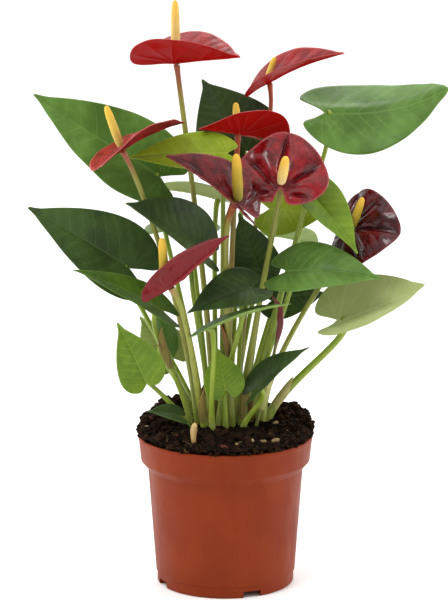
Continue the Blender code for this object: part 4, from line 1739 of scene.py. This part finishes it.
@dataclass
class Fibres:
    """Peat fibres and rootlets that stand out of the soil."""

    name: str
    count: int
    places: tuple[tuple[float, float, float], ...]     # x, y and spread, in millimetres
    lengths: tuple[float, float] = (3.0, 9.0)      # in millimetres
    radii: tuple[float, float] = (0.12, 0.3)
    lift: float = 0.7              # how steeply they may start
    bends: int = 6                 # straight bits in one fibre
    edge: float = 58 * MM          # none starts further out
    seed: int = 1

    def build(self, ground: Ground, material: bpy.types.Material) -> bpy.types.Object:
        """Grow the fibres.

        Args:
            ground: the surface that they stand in.
            material: their material.

        Returns:
            The fibres as one piece.
        """
        draw = random.Random(self.seed)
        runs = []
        for _ in range(self.count):
            x, y, spread = draw.choice(self.places)
            x = (x + draw.gauss(0, spread)) * MM
            y = (y + draw.gauss(0, spread)) * MM
            outer = math.hypot(x, y) / self.edge
            if outer > 1:
                x, y = x / outer, y / outer
            place = Vector((x, y, ground.height(x, y, CAD_BOX[0][2]) - MM))
            way = Vector((draw.uniform(-1, 1), draw.uniform(-1, 1), draw.uniform(0, self.lift))).normalized()
            step = draw.uniform(*self.lengths) * MM / self.bends
            radius = draw.uniform(*self.radii) * MM
            places = []
            for _ in range(self.bends + 1):
                places.append(place)
                way += Vector((draw.uniform(-1, 1), draw.uniform(-1, 1), draw.uniform(-0.7, 0.5))) * 0.45
                place = place + way.normalized() * step
            runs.append((places, [radius * (1 - 0.12 * number) for number in range(self.bends + 1)]))
        piece = add_tubes(self.name, runs, 0)
        piece.data.materials.append(material)
        hand_over(piece, Slot.PEAT)
        return piece


# ---------------------------------------------------------------- bud, shoot and bracts
@dataclass
class Sheath:
    """A papery bract wrapped round a stalk, with its tip coming free."""

    node: str                      # of the stalk it is on
    low: float                     # where it starts and ends, as shares of the stalk
    high: float
    facing: float                  # degrees round the stalk
    finish: PaperFinish
    radius: float = 2.3 * MM
    wrap: float = 140.0            # degrees to either side at the foot
    lean: float = 3.0 * MM         # how far its tip stands off
    crumple: float = 0.35 * MM
    wall: float = 0.35 * MM

    def build(self, number: int, dresses: Wardrobe) -> bpy.types.Object:
        """Build the bract.

        Args:
            number: its number among the bracts.
            dresses: the materials.

        Returns:
            The bract.
        """
        route = smooth_line(CadShape(self.node).rings(), 60)
        run = lengths_along(route)
        deselect()
        bpy.ops.mesh.primitive_grid_add(x_subdivisions=14, y_subdivisions=26, size=2)
        piece = bpy.context.view_layer.objects.active
        piece.name = f"bract_{number}"
        grid = coordinates(piece)
        up = (grid[:, 1] + 1) / 2
        stops = (self.low + (self.high - self.low) * up) * run[-1]
        centre = np.column_stack([np.interp(stops, run, route[:, axis]) for axis in range(3)])
        axis = unit(centre[np.argmax(up)] - centre[np.argmin(up)])
        side = sideways(axis)
        deep = np.cross(side, axis)
        half = math.radians(self.wrap) * (0.03 + 0.97 * (1 - up**2.2))
        angle = math.radians(self.facing) + half * grid[:, 0]
        out = np.cos(angle)[:, None] * side + np.sin(angle)[:, None] * deep
        radius = self.radius * (1 + 0.3 * np.sin(math.pi * up)) + self.lean * up**3
        points = centre + out * radius[:, None]
        points += out * (self.crumple * wander(points, 5 * MM, number * 2.0))[:, None]
        move_to(piece, points)
        store(piece, "stalk_share", up)
        wall = piece.modifiers.new("wall", "SOLIDIFY")
        wall.thickness = self.wall
        wall.offset = 0.0
        apply_modifiers(piece)
        wear(piece, dresses.dress(self.finish.material))
        hand_over(piece, Slot.SHOOT)
        return piece


def build_bud(dresses: Wardrobe) -> None:
    """Build the hooked bud on its stem.

    Args:
        dresses: the materials.
    """
    swell = ((0.0, 0.5, 0.62, 0.72, 0.82, 0.92, 1.0), (1.1, 0.95, 0.95, 1.7, 1.9, 1.2, 0.25))
    piece = Stalk(CadShape("flower_bud").rings(), 1.2 * MM, swell=swell, steps=60).build(
        "bud_grown", dresses.dress(BUD_RED.material))
    hand_over(piece, Slot.SPATHE, "flower_bud")


def build_shoot(dresses: Wardrobe) -> None:
    """Build the papery shoot that breaks through the soil.

    Args:
        dresses: the materials.
    """
    low, high = (np.array(corner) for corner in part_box("young_shoot"))
    middle = (low + high) / 2
    foot = (middle[0], middle[1], low[2])
    tip = (middle[0] + MM, middle[1] - MM, high[2])
    ends = np.array([foot, tuple(middle), tip])
    swell = ((0.0, 0.35, 0.7, 0.9, 1.0), (0.75, 0.85, 1.15, 0.9, 0.3))
    piece = Stalk(ends, 2.1 * MM, swell=swell).build("shoot_grown", dresses.dress(SHOOT_TAN.material))
    hand_over(piece, Slot.SHOOT, "young_shoot")


# ---------------------------------------------------------------- studio
@dataclass
class Studio:
    """The pale floor, the soft lights and the camera."""

    distance: float = 2.0          # from the aim to the camera
    elevation: float = 12.0        # degrees
    aim: tuple[float, float, float] = (-0.001, 0.0, 0.198)
    view_height: float = 0.4092    # height seen at the aim
    sensor: float = 24.0           # in millimetres
    front: float = 0.45            # brightness of the surroundings behind the camera
    back: float = 1.2              # and behind the plant
    above: float = 0.5             # added overhead
    lit: float = 0.22              # height that the softboxes face
    # name, place, width and watts of each softbox
    boxes: tuple[tuple[str, Colour, float, float], ...] = (
        ("key", (-0.8, -0.9, 1.9), 0.8, 15.0),
        ("right", (1.5, 0.1, 0.7), 0.7, 8.0),
        ("left", (-1.5, 0.2, 0.6), 0.7, 6.0),
        ("back", (0.2, 1.3, 1.6), 1.0, 7.0),
    )

    def build(self) -> None:
        """Set up the studio."""
        self.floor()
        self.world()
        self.lights()
        self.camera()

    def floor(self) -> None:
        """Lay a plain pale floor."""
        deselect()
        bpy.ops.mesh.primitive_circle_add(vertices=96, radius=8.0, fill_type="NGON")
        floor = bpy.context.view_layer.objects.active
        floor.name = "studio_floor"
        material = bpy.data.materials.new("pale_floor")
        material.use_nodes = True
        shader = material.node_tree.nodes["Principled BSDF"]
        shader.inputs["Base Color"].default_value = (0.97, 0.97, 0.965, 1.0)
        shader.inputs["Roughness"].default_value = 0.9
        floor.data.materials.append(material)

    def world(self) -> None:
        """Light everything evenly from a pale surrounding."""
        world = bpy.data.worlds.new("studio")
        world.use_nodes = True
        background = world.node_tree.nodes["Background"]
        background.inputs["Color"].default_value = (1.0, 1.0, 1.0, 1.0)
        nodes, links = world.node_tree.nodes, world.node_tree.links
        split = nodes.new("ShaderNodeSeparateXYZ")
        links.new(nodes.new("ShaderNodeTexCoord").outputs["Generated"], split.inputs["Vector"])
        spread = nodes.new("ShaderNodeMapRange")
        spread.inputs["From Min"].default_value = -1.0
        spread.inputs["To Min"].default_value = self.front
        spread.inputs["To Max"].default_value = self.back
        links.new(split.outputs["Y"], spread.inputs["Value"])
        overhead = nodes.new("ShaderNodeMath")
        overhead.operation = "MULTIPLY_ADD"
        overhead.inputs[1].default_value = self.above
        links.new(split.outputs["Z"], overhead.inputs[0])
        links.new(spread.outputs["Result"], overhead.inputs[2])
        links.new(overhead.outputs["Value"], background.inputs["Strength"])
        bpy.context.scene.world = world

    def lights(self) -> None:
        """Hang the softboxes."""
        for name, place, size, power in self.boxes:
            lamp = bpy.data.lights.new(name, "AREA")
            lamp.shape = "DISK"
            lamp.size = size
            lamp.energy = power
            holder = add_object(name, lamp)
            holder.location = place
            way = Vector((0, 0, self.lit)) - Vector(place)
            holder.rotation_euler = way.to_track_quat("-Z", "Y").to_euler()

    def camera(self) -> None:
        """Place the camera."""
        data = bpy.data.cameras.new("camera")
        data.sensor_fit = "VERTICAL"
        data.sensor_height = self.sensor
        data.lens = self.sensor * self.distance / self.view_height
        holder = add_object("camera", data)
        rise = math.radians(self.elevation)
        aim = Vector(self.aim)
        holder.location = aim + Vector((0, -math.cos(rise), math.sin(rise))) * self.distance
        holder.rotation_euler = (aim - holder.location).to_track_quat("-Z", "Y").to_euler()
        bpy.context.scene.camera = holder
        bpy.context.scene.view_settings.view_transform = "Standard"


SHEATHS = (
    Sheath("flower_bud", 0.12, 0.5, -60.0, CREAM, radius=2.4 * MM, lean=1.5 * MM),
    Sheath("leaf_06", 0.5, 0.86, 200.0, TAWNY),
    Sheath("flower_stem_5", 0.3, 0.48, 30.0, RUSSET, radius=2.6 * MM),
    Sheath("flower_stem_6", 0.02, 0.22, -20.0, TAWNY),
    Sheath("flower_stem_8", 0.02, 0.3, 190.0, TAWNY),
    Sheath("leaf_11", 0.05, 0.4, -30.0, CREAM, lean=2 * MM),
    Sheath("leaf_10", 0.0, 0.16, 0.0, RUSSET),
    Sheath("leaf_07", 0.0, 0.18, 180.0, RUSSET),
    Sheath("leaf_01", 0.0, 0.14, 200.0, TAWNY),
)
STREWN = (
    (Crumbs("crumbs_fine", 340, (0.5, 2.0), seed=3), CRUMB),
    (Crumbs("crumbs_coarse", 120, (1.4, 3.4), reach=(30.0, 58.0), seed=5), CRUMB),
    (Crumbs("heap_left", 110, (1.2, 3.6), reach=(34.0, 58.0), sector=(118.0, 200.0), seed=34), CRUMB),
    (Crumbs("heap_right", 100, (1.2, 3.6), reach=(36.0, 58.0), sector=(-20.0, 48.0), seed=41), CRUMB),
    (Crumbs("edge_crumbs", 260, (0.7, 2.4), reach=(54.0, 59.5), seed=55), CRUMB),
    (Crumbs("rim_crumbs", 420, (0.6, 1.8), reach=(59.4, 60.2), drop=3.6, seed=62), CRUMB),
    (Crumbs("chips_pale", 26, (0.5, 1.9), flat=0.4, long=1.9, reach=(34.0, 58.0), seed=8), CHIP),
    (Crumbs("chips_front", 9, (1.4, 2.8), flat=0.6, reach=(46.0, 55.0), sector=(275.0, 312.0), seed=13),
     CHIP),
    (Crumbs("chips_bark", 12, (1.2, 2.8), flat=0.6, long=1.7, reach=(30.0, 56.0), seed=21), RED_CHIP),
    (Fibres("peat_fibres", 150, ((-38, 28, 9), (48, 18, 8), (-8, 44, 12), (-50, 5, 6), (54, 0, 5)), seed=2),
     CRUMB),
    (Fibres("rootlets", 26, ((-24, -46, 8), (-30, -40, 8)), lengths=(5.0, 12.0), radii=(0.15, 0.3), lift=0.2,
            seed=4), CHIP),
)
LEAVES = (
    Leaf(1, MATURE), Leaf(2, YOUNG), Leaf(3, SHADED), Leaf(4, MATURE, shape={"droop": (-12.0, 14.0)}),
    Leaf(5, DEEP), Leaf(6, GRASS), Leaf(7, DEEP), Leaf(8, YOUNG), Leaf(9, FRESH), Leaf(10, MATURE),
    Leaf(11, SILVER), Leaf(12, SHADED), Leaf(13, SHADED), Leaf(14, MATURE), Leaf(15, FRESH),
    Leaf(16, SILVER), Leaf(17, FRESH), Leaf(18, SHADED), Leaf(19, DEEP), Leaf(20, MATURE),
    Leaf(21, DEEP), Leaf(22, SILVER), Leaf(23, SHADED), Leaf(24, DEEP), Leaf(25, MATURE),
    Leaf(26, FRESH),
)
FLOWERS = (
    Flower(1, SCARLET, stem_finish=STEM_BLUSH), Flower(2, SCARLET, SPADIX_GOLD, STEM_RED),
    Flower(3, ROSE, SPADIX_GOLD, STEM_BLUSH), Flower(4, SCARLET, SPADIX_GOLD, STEM_RED),
    Flower(5, MAROON, SPADIX_GREEN, STEM_BLUSH, shape={"folds": 0.9 * MM}),
    Flower(6, CRIMSON, shape={"folds": 3.0 * MM, "quilt": 0.2 * MM, "ripple": 1.4 * MM, **BLUNT}),
    Flower(7, WINE, SPADIX_GREEN, shape={"folds": 2.0 * MM, "quilt": 0.3 * MM, "ripple": 1.2 * MM, **BLUNT}),
    Flower(8, GARNET, SPADIX_GREEN, STEM, shape={"folds": 1.3 * MM, "fold_turn": 30.0}),
)


def main() -> None:
    """Build every piece round the frame, then the studio."""
    logging.basicConfig(level=logging.INFO, format="%(name)s: %(message)s")
    dresses = Wardrobe()
    for leaf in LEAVES:
        leaf.build(dresses)
    for flower in FLOWERS:
        flower.build(dresses)
    build_bud(dresses)
    build_shoot(dresses)
    for number, sheath in enumerate(SHEATHS, 1):
        sheath.build(number, dresses)
    Pot().build(dresses.dress(TERRACOTTA.material))
    ground = Soil().build(dresses.dress(PEAT.material))
    for strewn, finish in STREWN:
        strewn.build(ground, dresses.dress(finish.material))
    Studio().build()


if __name__ == "__main__":
    main()
